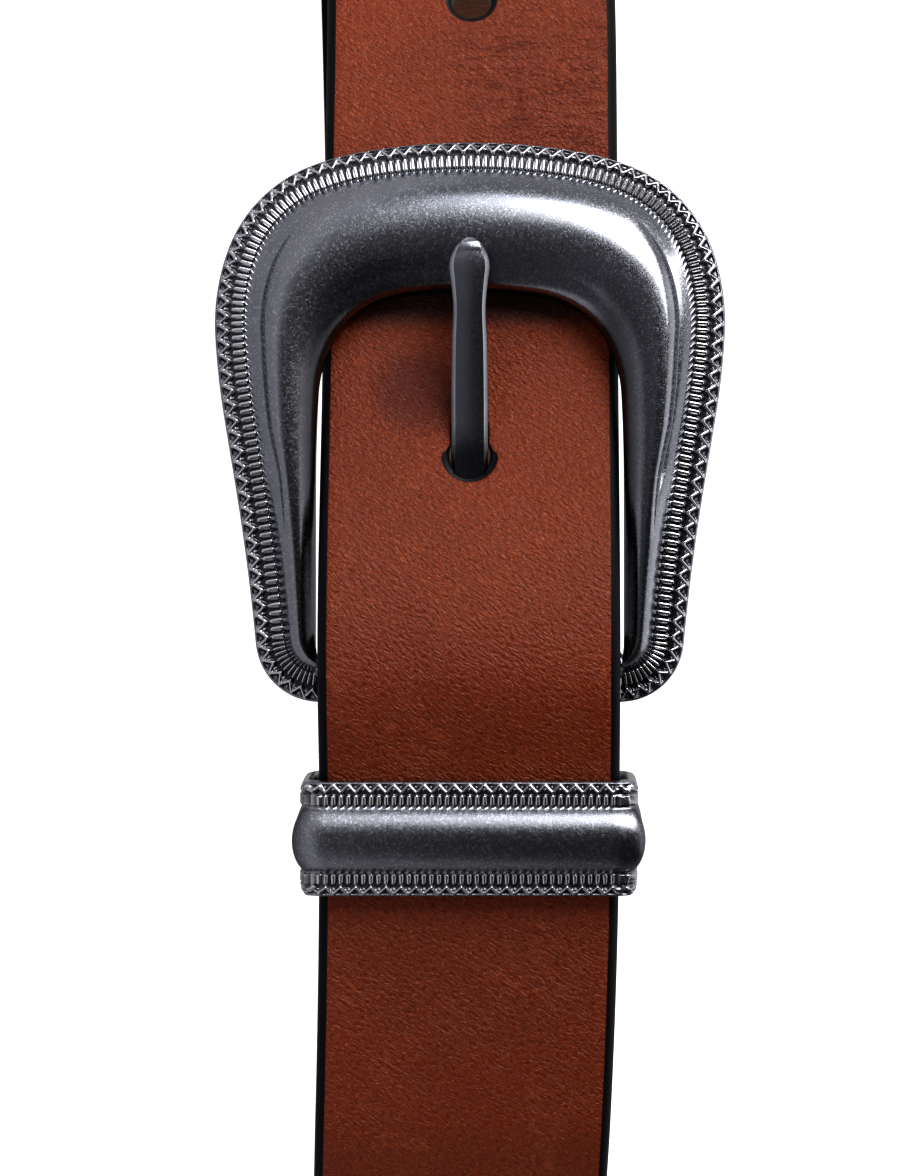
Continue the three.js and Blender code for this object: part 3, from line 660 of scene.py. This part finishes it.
def strap_path(waist, strap, buckle):
    """The strap's middle line from its tip to its folded end: run, height, thickness and half width. The over
    layer follows its ramps all the way round the waist, the under layer its own, then half a turn round the
    bar and the fold laid on the inside. The tip narrows as half an ellipse."""
    reach = waist.loop
    over_s = np.concatenate([
        strap.tip_at - TIP_LAST * (np.linspace(0, 1, TIP_STEPS, endpoint=False) ** 2),
        np.arange(strap.tip_at - TIP_LAST, NEAR_UNTIL, -NEAR_STEP),
        np.linspace(NEAR_UNTIL, strap.fold_end + UNDER_FROM - reach, BACK_STEPS, endpoint=False),
    ])
    wrap_radius = buckle.bar_radius + BAR_GAP + strap.wrap_thick / 2
    wrap_out = buckle.bar_out + wrap_radius
    under_s = np.arange(strap.fold_end + UNDER_FROM, buckle.bar_at + UNDER_UNTIL, -UNDER_STEP)
    angle = np.pi * np.linspace(0.5, 1.5, WRAP_STEPS)
    fold_s = np.append(np.arange(buckle.bar_at + FOLD_STEP, strap.fold_end, FOLD_STEP), strap.fold_end)
    fold_thick = ramps(strap.wrap_thick, FOLD_THICK_RAMPS, fold_s)
    under_thick = ramps(strap.wrap_thick, UNDER_THICK_RAMPS, under_s)
    s = np.concatenate([
        over_s, under_s - reach, buckle.bar_at - reach + wrap_radius * np.cos(angle), fold_s - reach])
    v = np.concatenate([
        ramps(strap.thick / 2, OVER_RAMPS, over_s), ramps(wrap_out, UNDER_RAMPS, under_s),
        buckle.bar_out + wrap_radius * np.sin(angle), fold_thick / 2])
    thick = np.concatenate([
        np.full_like(over_s, strap.thick), under_thick, np.full_like(angle, strap.wrap_thick), fold_thick])
    past = np.clip((s - strap.tip_at + strap.tip_length) / (strap.tip_length + 0.8), 0, 1)
    half = strap.width / 2 * np.sqrt(1 - past**2)
    return s, v, thick, half


def band(waist, name, path, edge_round, columns, shape=None):
    """A flat band carried along a path in the s-v plane. Its section is a rectangle with elliptic long edges;
    shape may add to the height of either face."""
    s, v, thick, half = path
    run, rise = np.gradient(s), np.gradient(v)
    length = np.hypot(run, rise)
    run, rise = run / length, rise / length
    flat = np.linspace(-1, 1, columns)
    turn = np.linspace(np.pi / 2, -np.pi / 2, 9)[1:-1]
    kind = np.concatenate([np.ones(columns), np.sin(turn), -np.ones(columns), -np.sin(turn)])
    side = np.ones(len(turn))
    reach = np.concatenate([flat, side, -flat, -side])
    out = np.concatenate([np.zeros(columns), np.cos(turn), np.zeros(columns), -np.cos(turn)])
    edge = np.minimum(edge_round, half * 0.3)[:, None]
    w = reach * (half[:, None] - edge) + out * edge
    y = kind * thick[:, None] / 2
    if shape:
        y = y + shape(s[:, None], w, kind)
    points = waist.place(s[:, None] - rise[:, None] * y, w, v[:, None] + run[:, None] * y)
    made = closed_body(name, points, caps=True)
    travelled = np.concatenate([[0], np.cumsum(np.hypot(np.diff(s), np.diff(v)))])
    along = s[0] - np.broadcast_to(travelled[:, None], w.shape)
    keep_uv(made, "flat", np.stack([along, w], axis=-1) * MM)
    keep_uv(made, "side", np.stack([np.broadcast_to(kind < 0, w.shape), np.zeros_like(w)], axis=-1))
    return made


# Bells in the leather's front: depth, reach across, place and reach along the strap
BELLS = [(-0.5, 4.5, -6, 6.5), (0.35, 6, 15, 7)]
# Run over which the front has bells and ripples
WORN_RUN = (-60, 125)
# Depth and width of the thinner leather at the edges
THIN, THIN_WIDTH = 0.22, 3.2


def worn_shape(strap):
    """Leather pressed down under the tongue and pulled up behind it, each as a bell curve both ways, with a
    wandering sine wave of ripples past the buckle, and thinner by a square towards its edges."""
    def shape(s, w, kind):
        front = ease((-kind + 0.2) / 0.6)
        bells = sum(deep * np.exp(-(w / wide) ** 2) * np.exp(-((s - at) / reach) ** 2)
                    for deep, wide, at, reach in BELLS)
        thin = -THIN * np.clip((np.abs(w) - strap.width / 2 + THIN_WIDTH) / THIN_WIDTH, 0, 1) ** 2
        near = (s > WORN_RUN[0]) & (s < WORN_RUN[1])
        ripple = 0.05 * np.sin(s / 3.1 + 0.5 * np.sin(w / 4)) * np.exp(-((s + 45) / 9) ** 2)
        return -(front * near * (bells + ripple)) - front * thin
    return shape


# Size holes and their sides, where a hole starts, how deep its mouth is and how much wider, where it ends
HOLES, HOLE_SIDES = 5, 40
HOLE_BELOW, MOUTH_DEEP, MOUTH_SPARE, HOLE_ABOVE = -2, 0.9, 0.25, 3
# Room round the tongue, then the slot: reach past the bar, how much deeper than the leather, corner radius
TONGUE_ROOM = 0.12
SLOT_REACH, SLOT_SPARE, SLOT_ROUND = 7.5, 0.24, 0.01


def hole_profile(strap, top):
    """A straight hole that opens in a quarter round at its mouth."""
    turn = np.linspace(0, np.pi / 2, 6)
    flare = strap.mouth_radius - strap.hole_radius
    wide = strap.mouth_radius + MOUTH_SPARE
    rows = [(AXIS, HOLE_BELOW), (strap.hole_radius, HOLE_BELOW)]
    rows += [(strap.hole_radius + flare * (1 - math.cos(t)), top - MOUTH_DEEP + MOUTH_DEEP * math.sin(t))
             for t in turn]
    return rows + [(wide, top + 0.2), (wide, top + HOLE_ABOVE), (AXIS, top + HOLE_ABOVE)]


class BELT_OT_strap(bpy.types.Operator):
    """Lay the strap round the waist, punch its holes and finish the leather"""
    bl_idname = "belt.strap"
    bl_label = "Strap"

    def execute(self, context):
        scene = context.scene
        waist = Waist(scene)
        strap, buckle = in_mm(scene.belt_strap), in_mm(scene.belt_buckle)
        colours = scene.belt_colours
        path = strap_path(waist, strap, buckle)
        made = band(waist, "strap_leather", path, strap.edge_round, 41, worn_shape(strap))
        leather = leather_finish(colours)
        made.data.materials.append(leather)
        paint = paint_finish(colours)
        cutters = []
        for number in range(HOLES):
            at = strap.tongue_hole - number * strap.hole_spacing
            top = float(ramps(strap.thick, OVER_RAMPS, at))
            cutters.append(turned(waist, "hole", at, hole_profile(strap, top), HOLE_SIDES))
        cutters.append(tongue_shaft(waist, "tongue_room", TONGUE_ROOM))
        inside = path[0] < buckle.bar_at + SLOT_REACH - waist.loop
        slot_path = [values[inside] for values in path]
        slot_path[2] = slot_path[2] + SLOT_SPARE
        slot_path[3] = np.full_like(slot_path[3], strap.slot_width / 2)
        cutters.append(band(waist, "slot", slot_path, SLOT_ROUND, 3))
        for cutter in cutters:
            cutter.data.materials.clear()
            cutter.data.materials.append(paint)
        combine(made, "DIFFERENCE", cutters, "TRANSFER")
        settle(made, leather, "leather", "strap")
        return {"FINISHED"}


def tongue_shaft(waist, name, spare=0.0):
    """A bevelled bar carried along a smooth line through the tongue's rows. It narrows at the neck and swells
    into a spear-shaped head. With room to spare it is the body that clears the tongue's way."""
    at, out, half, deep = np.array([row[1:] for row in TONGUE_ROWS]).T
    knots = np.concatenate([[0], np.cumsum(np.hypot(np.diff(at), np.diff(out)))])
    head = knots[-3]
    fine = np.concatenate([np.linspace(0, head, 60, endpoint=False), np.linspace(head, knots[-1], 22)])
    s, v, half, deep = (smooth_through(knots, column, fine) for column in (at, out, half, deep))
    run, rise = np.gradient(s), np.gradient(v)
    length = np.hypot(run, rise)
    run, rise = (run / length)[:, None], (rise / length)[:, None]
    corners = np.array(TONGUE_SECTION)
    before, after = np.roll(corners, 1, axis=0), np.roll(corners, -1, axis=0)
    cut_off = np.stack([corners + CORNER_CUT * (near - corners) for near in (before, after)], axis=1)
    across, up = cut_off.reshape(-1, 2).T
    w = (half[:, None] + spare) * across
    y = (deep[:, None] + spare) * up
    dish = 0.0 if spare else DISH
    y = y - dish * (up > 0.9) * (1 - across**2) * np.exp(-((s[:, None] - DISH_AT) / DISH_REACH) ** 2)
    points = waist.place(s[:, None] - rise * y, w, v[:, None] + run * y)
    made = closed_body(name, points, caps=True)
    if not spare:
        # Painted shade on the tongue's narrow sides and on its end that sinks into the hole
        painted_shade_in_hole = ease((s[:, None] - 0.5) / 4.5)
        keep_value(made, "hollow", np.maximum(0.75 * (np.abs(across) > 0.87), painted_shade_in_hole))
    made.data.set_sharp_from_angle(angle=math.radians(20))
    return made


def smooth_through(knots, values, at):
    """A cubic Hermite curve through the values, with slopes from their neighbours."""
    slope = np.gradient(values, knots)
    i = np.clip(np.searchsorted(knots, at) - 1, 0, len(knots) - 2)
    gap = knots[i + 1] - knots[i]
    t = (at - knots[i]) / gap
    return ((1 + 2 * t) * (1 - t) ** 2 * values[i] + t * (1 - t) ** 2 * gap * slope[i]
            + t * t * (3 - 2 * t) * values[i + 1] + t * t * (t - 1) * gap * slope[i + 1])


class BELT_OT_tongue(bpy.types.Operator):
    """Forge the tongue and its ring round the bar"""
    bl_idname = "belt.tongue"
    bl_label = "Tongue"

    def execute(self, context):
        waist = Waist(context.scene)
        buckle = in_mm(context.scene.belt_buckle)
        made = tongue_shaft(waist, "tongue_prong")
        angle = np.linspace(0, 2 * np.pi, RING_STEPS, endpoint=False)[:, None]
        outside, w = np.array(RING_SECTION).T
        radius = buckle.bar_radius + BAR_GAP + outside
        points = waist.place(
            buckle.bar_at + radius * np.cos(angle), w + 0 * angle, buckle.bar_out + radius * np.sin(angle))
        ring = closed_body("ring", points, wrap_rows=True)
        keep_value(ring, "hollow", 0)
        combine(made, "UNION", [ring])
        settle(made, silver_finish("dark_polished_silver", context.scene.belt_colours, 0.12, 0.25, 1.6),
               "antique_silver", "tongue")
        return {"FINISHED"}


def casting_columns(edge, rim, body, opening):
    """One coordinate round the buckle's section: outer wall, rim, body, wall of the opening and back."""
    wall = np.ones(3)
    return np.hstack([edge[:, None] * wall, rim, body, opening[:, None] * wall,
                      (edge * 0.5 + opening * 0.5)[:, None]])


class BELT_OT_buckle_frame(bpy.types.Operator):
    """Cast the buckle's frame with its raised rim and its bar"""
    bl_idname = "belt.buckle_frame"
    bl_label = "Buckle frame"

    def execute(self, context):
        scene = context.scene
        waist = Waist(scene)
        buckle = in_mm(scene.belt_buckle)
        steps = buckle.teeth * TOOTH_STEPS
        count = np.arange(-steps, steps + 1)
        ends = np.concatenate([[0], np.cumsum(turns_and_lengths(RIM_ROWS)[1])])
        run = np.abs(count) / steps * ends[-1]
        rows = np.interp(run, ends, np.arange(len(ends)))
        a, b, heading = outline(RIM_ROWS, RIM_TOP, rows)
        inner_a, inner_b, _ = outline(OPENING_ROWS, OPENING_TOP, rows)
        slope_at, slope_up = np.array(RIM_SLOPE).T
        bands = np.concatenate([
            slope_at[:4], np.linspace(0.4, 1.75, 15), np.linspace(1.83, buckle.rim_width, 18)])
        tooth = np.abs(count)[:, None] / TOOTH_STEPS
        relief, inside = rim_relief(tooth, bands, ends[-1] / buckle.teeth, buckle.relief)
        rim_up = np.interp(bands, slope_at, slope_up) + relief * ease((bands - RELIEF_AT) / RELIEF_OVER)
        rim_a = a[:, None] - np.sin(heading)[:, None] * bands
        rim_b = b[:, None] + np.cos(heading)[:, None] * bands
        shoulder_a, shoulder_b = rim_a[:, -1:], rim_b[:, -1:]
        width = np.hypot(shoulder_a - inner_a[:, None], shoulder_b - inner_b[:, None])
        bevel = np.minimum(BEVEL_REACH / width, BEVEL_SHARE)
        x = np.hstack([bevel * BEVEL_COLUMNS, bevel + (1 - bevel) * BODY_COLUMNS])
        dome_a = shoulder_a + (inner_a[:, None] - shoulder_a) * x
        dome_b = shoulder_b + (inner_b[:, None] - shoulder_b) * x
        # The bevel and the painted shade on the body's inner flank start on the shoulders, and the bevel ends
        # at the foot
        side = (ease((np.abs(heading) - 0.6) / 0.6) * (1 - ease((b - 3) / 14)))[:, None]
        flank = ease((np.abs(heading) - 0.5) / 0.6)[:, None]
        dome_up = buckle.rim_floor + dome_rise(x, width, side, buckle.dome)
        ones = np.ones((len(count), 1))
        all_a = casting_columns(a, rim_a, dome_a, inner_a)
        all_b = casting_columns(b, rim_b, dome_b, inner_b)
        wall_up = dome_up[:, -1:] * [0.66, 0.33, 0.0]
        all_up = np.hstack([ones * [0.0, 0.35, 0.7], rim_up, dome_up, wall_up, ones * 0])
        back = buckle.back_at_bar + buckle.back_rise * (buckle.bar_at - all_b) / BACK_RUN
        hand = np.where(count < 0, -1, 1)[:, None]
        points = waist.place(all_b, all_a * hand, back + all_up)
        made = closed_body("buckle_casting", points, caps=True)
        # Patina in the rim's relief; painted shade on the inner part of the legs' body and on the opening's
        # wall, and a little on the back and the top of the outer wall
        keep_value(made, "hollow", np.hstack([
            ones * [0, 0, 0.2], tarnished(relief, inside, 0.85, bands, 3.3, 0.4),
            0.9 * flank * ease((x - 0.6) / 0.35), ones * [0.9, 0.9, 0.9, 0.2]]))
        keep_value(made, "worn", np.hstack([
            ones * [0, 0, 0.3], polished(relief, buckle.relief), dome_up * 0, ones * [0, 0, 0, 0]]))
        angle = np.linspace(0, 2 * np.pi, BAR_STEPS, endpoint=False)
        reach, slim = np.array(BAR_RINGS, float).T[:, :, None]
        radius = buckle.bar_radius * slim
        points = waist.place(
            buckle.bar_at + radius * np.cos(angle), reach + 0 * angle,
            buckle.bar_out - BAR_SINK * (1 - slim) + radius * np.sin(angle))
        bar = closed_body("bar", points, caps=True)
        # Painted shade over the whole bar, which lies under the strap
        keep_value(bar, "hollow", 1)
        combine(made, "UNION", [bar])
        settle(made, silver_finish("antique_silver_casting", scene.belt_colours, 0.17, 1.2),
               "antique_silver", "buckle_frame")
        return {"FINISHED"}


class BELT_OT_keeper(bpy.types.Operator):
    """Cast the keeper with its barrel front and two ornamented edges"""
    bl_idname = "belt.keeper"
    bl_label = "Keeper"

    def execute(self, context):
        scene = context.scene
        waist = Waist(scene)
        keeper = in_mm(scene.belt_keeper)
        step = KEEPER_PITCH / TOOTH_STEPS
        run = keeper.half_width - keeper.corner
        high, low = keeper.high - keeper.corner, keeper.low + keeper.corner
        across = np.arange(-run, run + step / 2, 2 * run / round(2 * run / step))
        up = np.linspace(low, high, 30)[1:-1]
        turn = np.linspace(0, np.pi / 2, 14)
        corner = np.stack([np.sin(turn), np.cos(turn)])
        square = corner / np.max(corner, axis=0) ** 0.9
        bend_w, bend_v = keeper.corner * corner
        # The loop's inside from the front round to the wearer's side and back: place, then heading outwards
        rows = [
            (across[1:-1], keeper.high, 0.0, 1.0),
            (run + bend_w, high + bend_v, square[0], square[1]),
            (keeper.half_width, up[::-1], 1.0, 0.0),
            (run + bend_v, low - bend_w, corner[1], -corner[0]),
            (np.linspace(run, -run, 20)[1:-1], keeper.low, 0.0, -1.0),
            (-run - bend_w, low - bend_v, -corner[0], -corner[1]),
            (-keeper.half_width, up, -1.0, 0.0),
            (-run - bend_v, high + bend_w, -square[1], square[0]),
        ]
        w, v, ow, ov = np.hstack([np.stack(np.broadcast_arrays(*row)) for row in rows])[:, :, None]
        # Teeth are counted from the middle of the front, along a line that lies outside the loop
        outer_w, outer_v = w + 1.8 * ow, v + 1.8 * ov
        travelled = np.cumsum(np.hypot(*(np.diff(c[:, 0], prepend=c[0, 0]) for c in (outer_w, outer_v))))
        middle = travelled[np.argmin(np.abs(outer_w[:, 0]) + (ov[:, 0] < 0.9) * 99)]
        tooth = ((travelled - middle) / KEEPER_PITCH)[:, None]
        slope_at, slope_up = np.array(KEEPER_SLOPE).T
        inset = np.concatenate([slope_at[:4], np.linspace(0.38, 1.45, 14), np.linspace(1.52, 2.95, 15)])
        relief, inside = rim_relief(tooth, inset * KEEPER_FINER, KEEPER_PITCH, KEEPER_RELIEF)
        relief = relief * ease((inset - RELIEF_AT) / RELIEF_OVER)
        rim = np.interp(inset, slope_at, slope_up) + relief
        t = np.linspace(-1, 1, 25)[1:-1]
        facing = ov / np.hypot(ow, ov)
        bulge = keeper.bulge - BARREL_FOOT + keeper.front_bulge * ease((facing - 0.4) / 0.6)
        crown = BARREL_FOOT + bulge * (1 - t**2) ** 0.75
        ones = np.ones((len(w), 1))
        length = keeper.half_length
        at = np.concatenate([
            [length], length - inset, -t * (length - KEEPER_BAND), inset[::-1] - length, [-length]])
        ornate = np.hstack([ones * 0, rim, ones * crown, rim[:, ::-1], ones * 0])
        plain = np.where((at == at[0]) | (at == at[-1]), 0, 1) * KEEPER_BACK
        plain[1], plain[-2] = BACK_EDGE, BACK_EDGE
        front = ease((ov + 0.9) / 0.6)
        out = ornate * front + plain * (1 - front)
        out[:, [0, -1]] = 0
        points = waist.place(keeper.at + at + 0 * out, w + ow * out, v + ov * out)
        made = closed_body("keeper_loop", points, wrap_rows=True)
        hollow = tarnished(relief, inside, 0.7, inset, 2.4, 0.5)
        # Painted shade where the barrel turns away at its two ends, and a little at its feet beside the bands
        ends = 0.9 * ease((0.985 - facing) / 0.3) + 0.2 * np.exp(-(1 - np.abs(t)) / 0.1)
        keep_value(made, "hollow", front * np.hstack([ones * 0, hollow, ends, hollow[:, ::-1], ones * 0]))
        worn = polished(relief, KEEPER_RELIEF)
        keep_value(made, "worn", front * np.hstack([ones * 0, worn, ones * t * 0, worn[:, ::-1], ones * 0]))
        settle(made, silver_finish("antique_silver_keeper", scene.belt_colours, 0.22, 1.7),
               "antique_silver", "keeper")
        return {"FINISHED"}


class BELT_OT_fold_screws(bpy.types.Operator):
    """Turn the two plain screws that close the fold"""
    bl_idname = "belt.fold_screws"
    bl_label = "Fold screws"

    def execute(self, context):
        waist = Waist(context.scene)
        finish = silver_finish("plain_silver_screw", context.scene.belt_colours, 0.22, 0.6)
        for node, at in SCREWS.items():
            made = turned(waist, node + "_turned", at, SCREW_PROFILE, SCREW_SIDES)
            keep_value(made, "hollow", 0)
            settle(made, finish, "antique_silver", node)
        return {"FINISHED"}


LIGHTS = [
    # name, place, aim, width, height, power, colour, mirrored by the metal
    ("key_above", (-0.79, -0.90, 0.53), (0.0, -0.13, 0.033), 0.75, 0.9, 11.6, (1.0, 0.99, 0.98), True),
    ("low_fill", (0.7, -0.9, 0.25), (0.05, -0.13, 0.033), 1.4, 1.0, 1.9, (1.0, 0.98, 0.95), False),
    ("top_soft", (-1.0, -0.85, 0.1), (0.0, -0.13, 0.033), 0.5, 0.3, 0.8, (0.86, 0.92, 1.0), True),
]
# The even light from above: strength, softness and direction
GLOW, GLOW_WIDE, GLOW_WAY = 0.65, math.radians(70), (0.0, 0.05, -1)
FLOOR_HALF = 6
# The floor as the metal mirrors it, with a painted pool of light: from where to where it pales towards the
# belt, and its two colours
NEAR_RUN, NEAR_DARK, NEAR_PALE = (-0.23, -0.16), (0.1, 0.1, 0.11), (0.55, 0.55, 0.57)
# The room's own light: where it comes from, the way over which it rises, and the white that the camera sees
ROOM_LEAN, ROOM_RISE = (-0.45, 0.85, 0.25), (-0.2, 0.7)
ROOM_DIM, ROOM_BRIGHT, BACKDROP = 0.045, 0.6, 1.1
# The camera: the run in millimetres that it stands before and the one that it is square to, the height there,
# then distance and height in metres, lens, and shift to the belt's right
CAMERA_AIM_AT, CAMERA_SQUARE_TO, CAMERA_AIM_OUT = 21.5, 28, 9.0
CAMERA_DISTANCE, CAMERA_HEIGHT, CAMERA_LENS, CAMERA_SHIFT = 0.452, 0.0405, 110.2, 0.0695


class BELT_OT_stage(bpy.types.Operator):
    """Set the pale floor, the lights and the camera"""
    bl_idname = "belt.stage"
    bl_label = "Stage"

    def execute(self, context):
        scene = context.scene
        waist = Waist(scene)
        bench = Bench(bpy.data.materials.new("pale_floor"))
        place = bench.object_place()
        speck = bench.noise(place, 40, 2)
        tone = bench.blend(speck * 0.3, scene.belt_colours.floor, shaded(scene.belt_colours.floor, 0.97))
        lit = bench.gloss({"Specular IOR Level": 0.1, "Emission Strength": 1.0}, Base_Color=tone,
                          Roughness=0.7 + speck * 0.1, Emission_Color=tone)
        # Rays other than the camera's see a darker floor with a painted pool of light near the belt, and it
        # glows a little
        near = bench.blend(bench.part(place, 1).between(*NEAR_RUN), NEAR_DARK, NEAR_PALE)
        dim = bench.gloss({"Specular IOR Level": 0.1, "Roughness": 0.8, "Emission Strength": 0.18},
                          Base_Color=near, Emission_Color=near)
        material = bench.done(bench.either(bench.node("ShaderNodeLightPath"), dim, lit))
        corners = FLOOR_HALF * np.array([[-1, -1, 0], [1, -1, 0], [1, 1, 0], [-1, 1, 0]], float)
        floor = mesh_object("floor", corners, [[0, 1, 2, 3]], smooth=False)
        floor.data.materials.append(material)
        for name, at, aim, width, height, power, tint, mirrored in LIGHTS:
            lamp = bpy.data.lights.new(name, "AREA")
            lamp.shape, lamp.size, lamp.size_y = "RECTANGLE", width, height
            lamp.energy, lamp.color = power, tint
            holder = bpy.data.objects.new(name, lamp)
            holder.location = at
            holder.visible_glossy = mirrored
            holder.rotation_euler = (Vector(aim) - Vector(at)).to_track_quat("-Z", "Y").to_euler()
            scene.collection.objects.link(holder)
        sun = bpy.data.lights.new("room_glow", "SUN")
        sun.energy, sun.angle = GLOW, GLOW_WIDE
        holder = bpy.data.objects.new("room_glow", sun)
        holder.rotation_euler = Vector(GLOW_WAY).to_track_quat("-Z", "Y").to_euler()
        scene.collection.objects.link(holder)
        room(scene)
        aim_camera(scene, waist)
        scene.view_settings.view_transform = "Standard"
        scene.view_settings.look = "High Contrast"
        return {"FINISHED"}


def room(scene):
    """A white backdrop all round, in a room whose own light comes from behind, above and the left of the
    picture's top and is dim on the side that the buckle faces."""
    bench = Bench(bpy.data.worlds.new("pale_room"))
    place = bench.node("ShaderNodeTexCoord")
    lean = bench.node("ShaderNodeVectorMath", {"operation": "DOT_PRODUCT"}, {0: place, 1: ROOM_LEAN}, out=1)
    rise = dict(zip(("From Min", "From Max", "To Min", "To Max"), (*ROOM_RISE, ROOM_DIM, ROOM_BRIGHT)))
    strength = bench.node("ShaderNodeMapRange", {}, {"Value": lean, **rise})
    glow = bench.node("ShaderNodeBackground", {}, {"Strength": strength})
    white = bench.node("ShaderNodeBackground", {}, {"Color": (1, 1, 1, 1), "Strength": BACKDROP})
    shown = bench.either(bench.node("ShaderNodeLightPath"), glow, white)
    scene.world = bench.done(shown, "ShaderNodeOutputWorld")


def aim_camera(scene, waist):
    """The camera stands square to the belt's front a little above the middle of the strap, with the strap's
    run up the picture and the floor at its left."""
    at = Vector(waist.place(CAMERA_AIM_AT, 0.0, CAMERA_AIM_OUT))
    before, after = (Vector(waist.place(CAMERA_SQUARE_TO + step, 0.0, 0.0)) for step in (-1, 1))
    along = (after - before) * Vector((1, 1, 0))
    along.normalize()
    out = Vector((along.y, -along.x, 0))
    camera = bpy.data.cameras.new("camera")
    camera.lens, camera.sensor_width = CAMERA_LENS, 36
    camera.shift_x = -CAMERA_SHIFT
    holder = bpy.data.objects.new("camera", camera)
    scene.collection.objects.link(holder)
    turn = Matrix((Vector((0, 0, 1)), -along, out)).transposed()
    place = at + out * CAMERA_DISTANCE
    place.z = CAMERA_HEIGHT
    holder.matrix_world = Matrix.Translation(place) @ turn.to_4x4()
    scene.camera = holder


class BELT_PT_sidebar(bpy.types.Panel):
    """Sizes, colours and making of the belt"""
    bl_label = "Western Belt"
    bl_idname = "BELT_PT_sidebar"
    bl_space_type = "VIEW_3D"
    bl_region_type = "UI"
    bl_category = "Belt"

    def draw(self, context):
        for name, group in SETS.items():
            box = self.layout.box()
            box.label(text=name.replace("belt_", "").capitalize())
            for field in group.__annotations__:
                box.prop(getattr(context.scene, name), field)
        for operator in OPERATORS:
            self.layout.operator(operator.bl_idname)


OPERATORS = [BELT_OT_stage, BELT_OT_strap, BELT_OT_buckle_frame, BELT_OT_tongue, BELT_OT_keeper,
             BELT_OT_fold_screws]
CLASSES = [*SETS.values(), *OPERATORS, BELT_PT_sidebar]


def register():
    for cls in CLASSES:
        bpy.utils.register_class(cls)
    for name, group in SETS.items():
        setattr(bpy.types.Scene, name, bpy.props.PointerProperty(type=group))


def unregister():
    for name in SETS:
        delattr(bpy.types.Scene, name)
    for cls in reversed(CLASSES):
        bpy.utils.unregister_class(cls)


def main():
    register()
    bpy.ops.belt.stage()
    bpy.ops.belt.strap()
    bpy.ops.belt.buckle_frame()
    bpy.ops.belt.tongue()
    bpy.ops.belt.keeper()
    bpy.ops.belt.fold_screws()


if __name__ == "__main__":
    main()
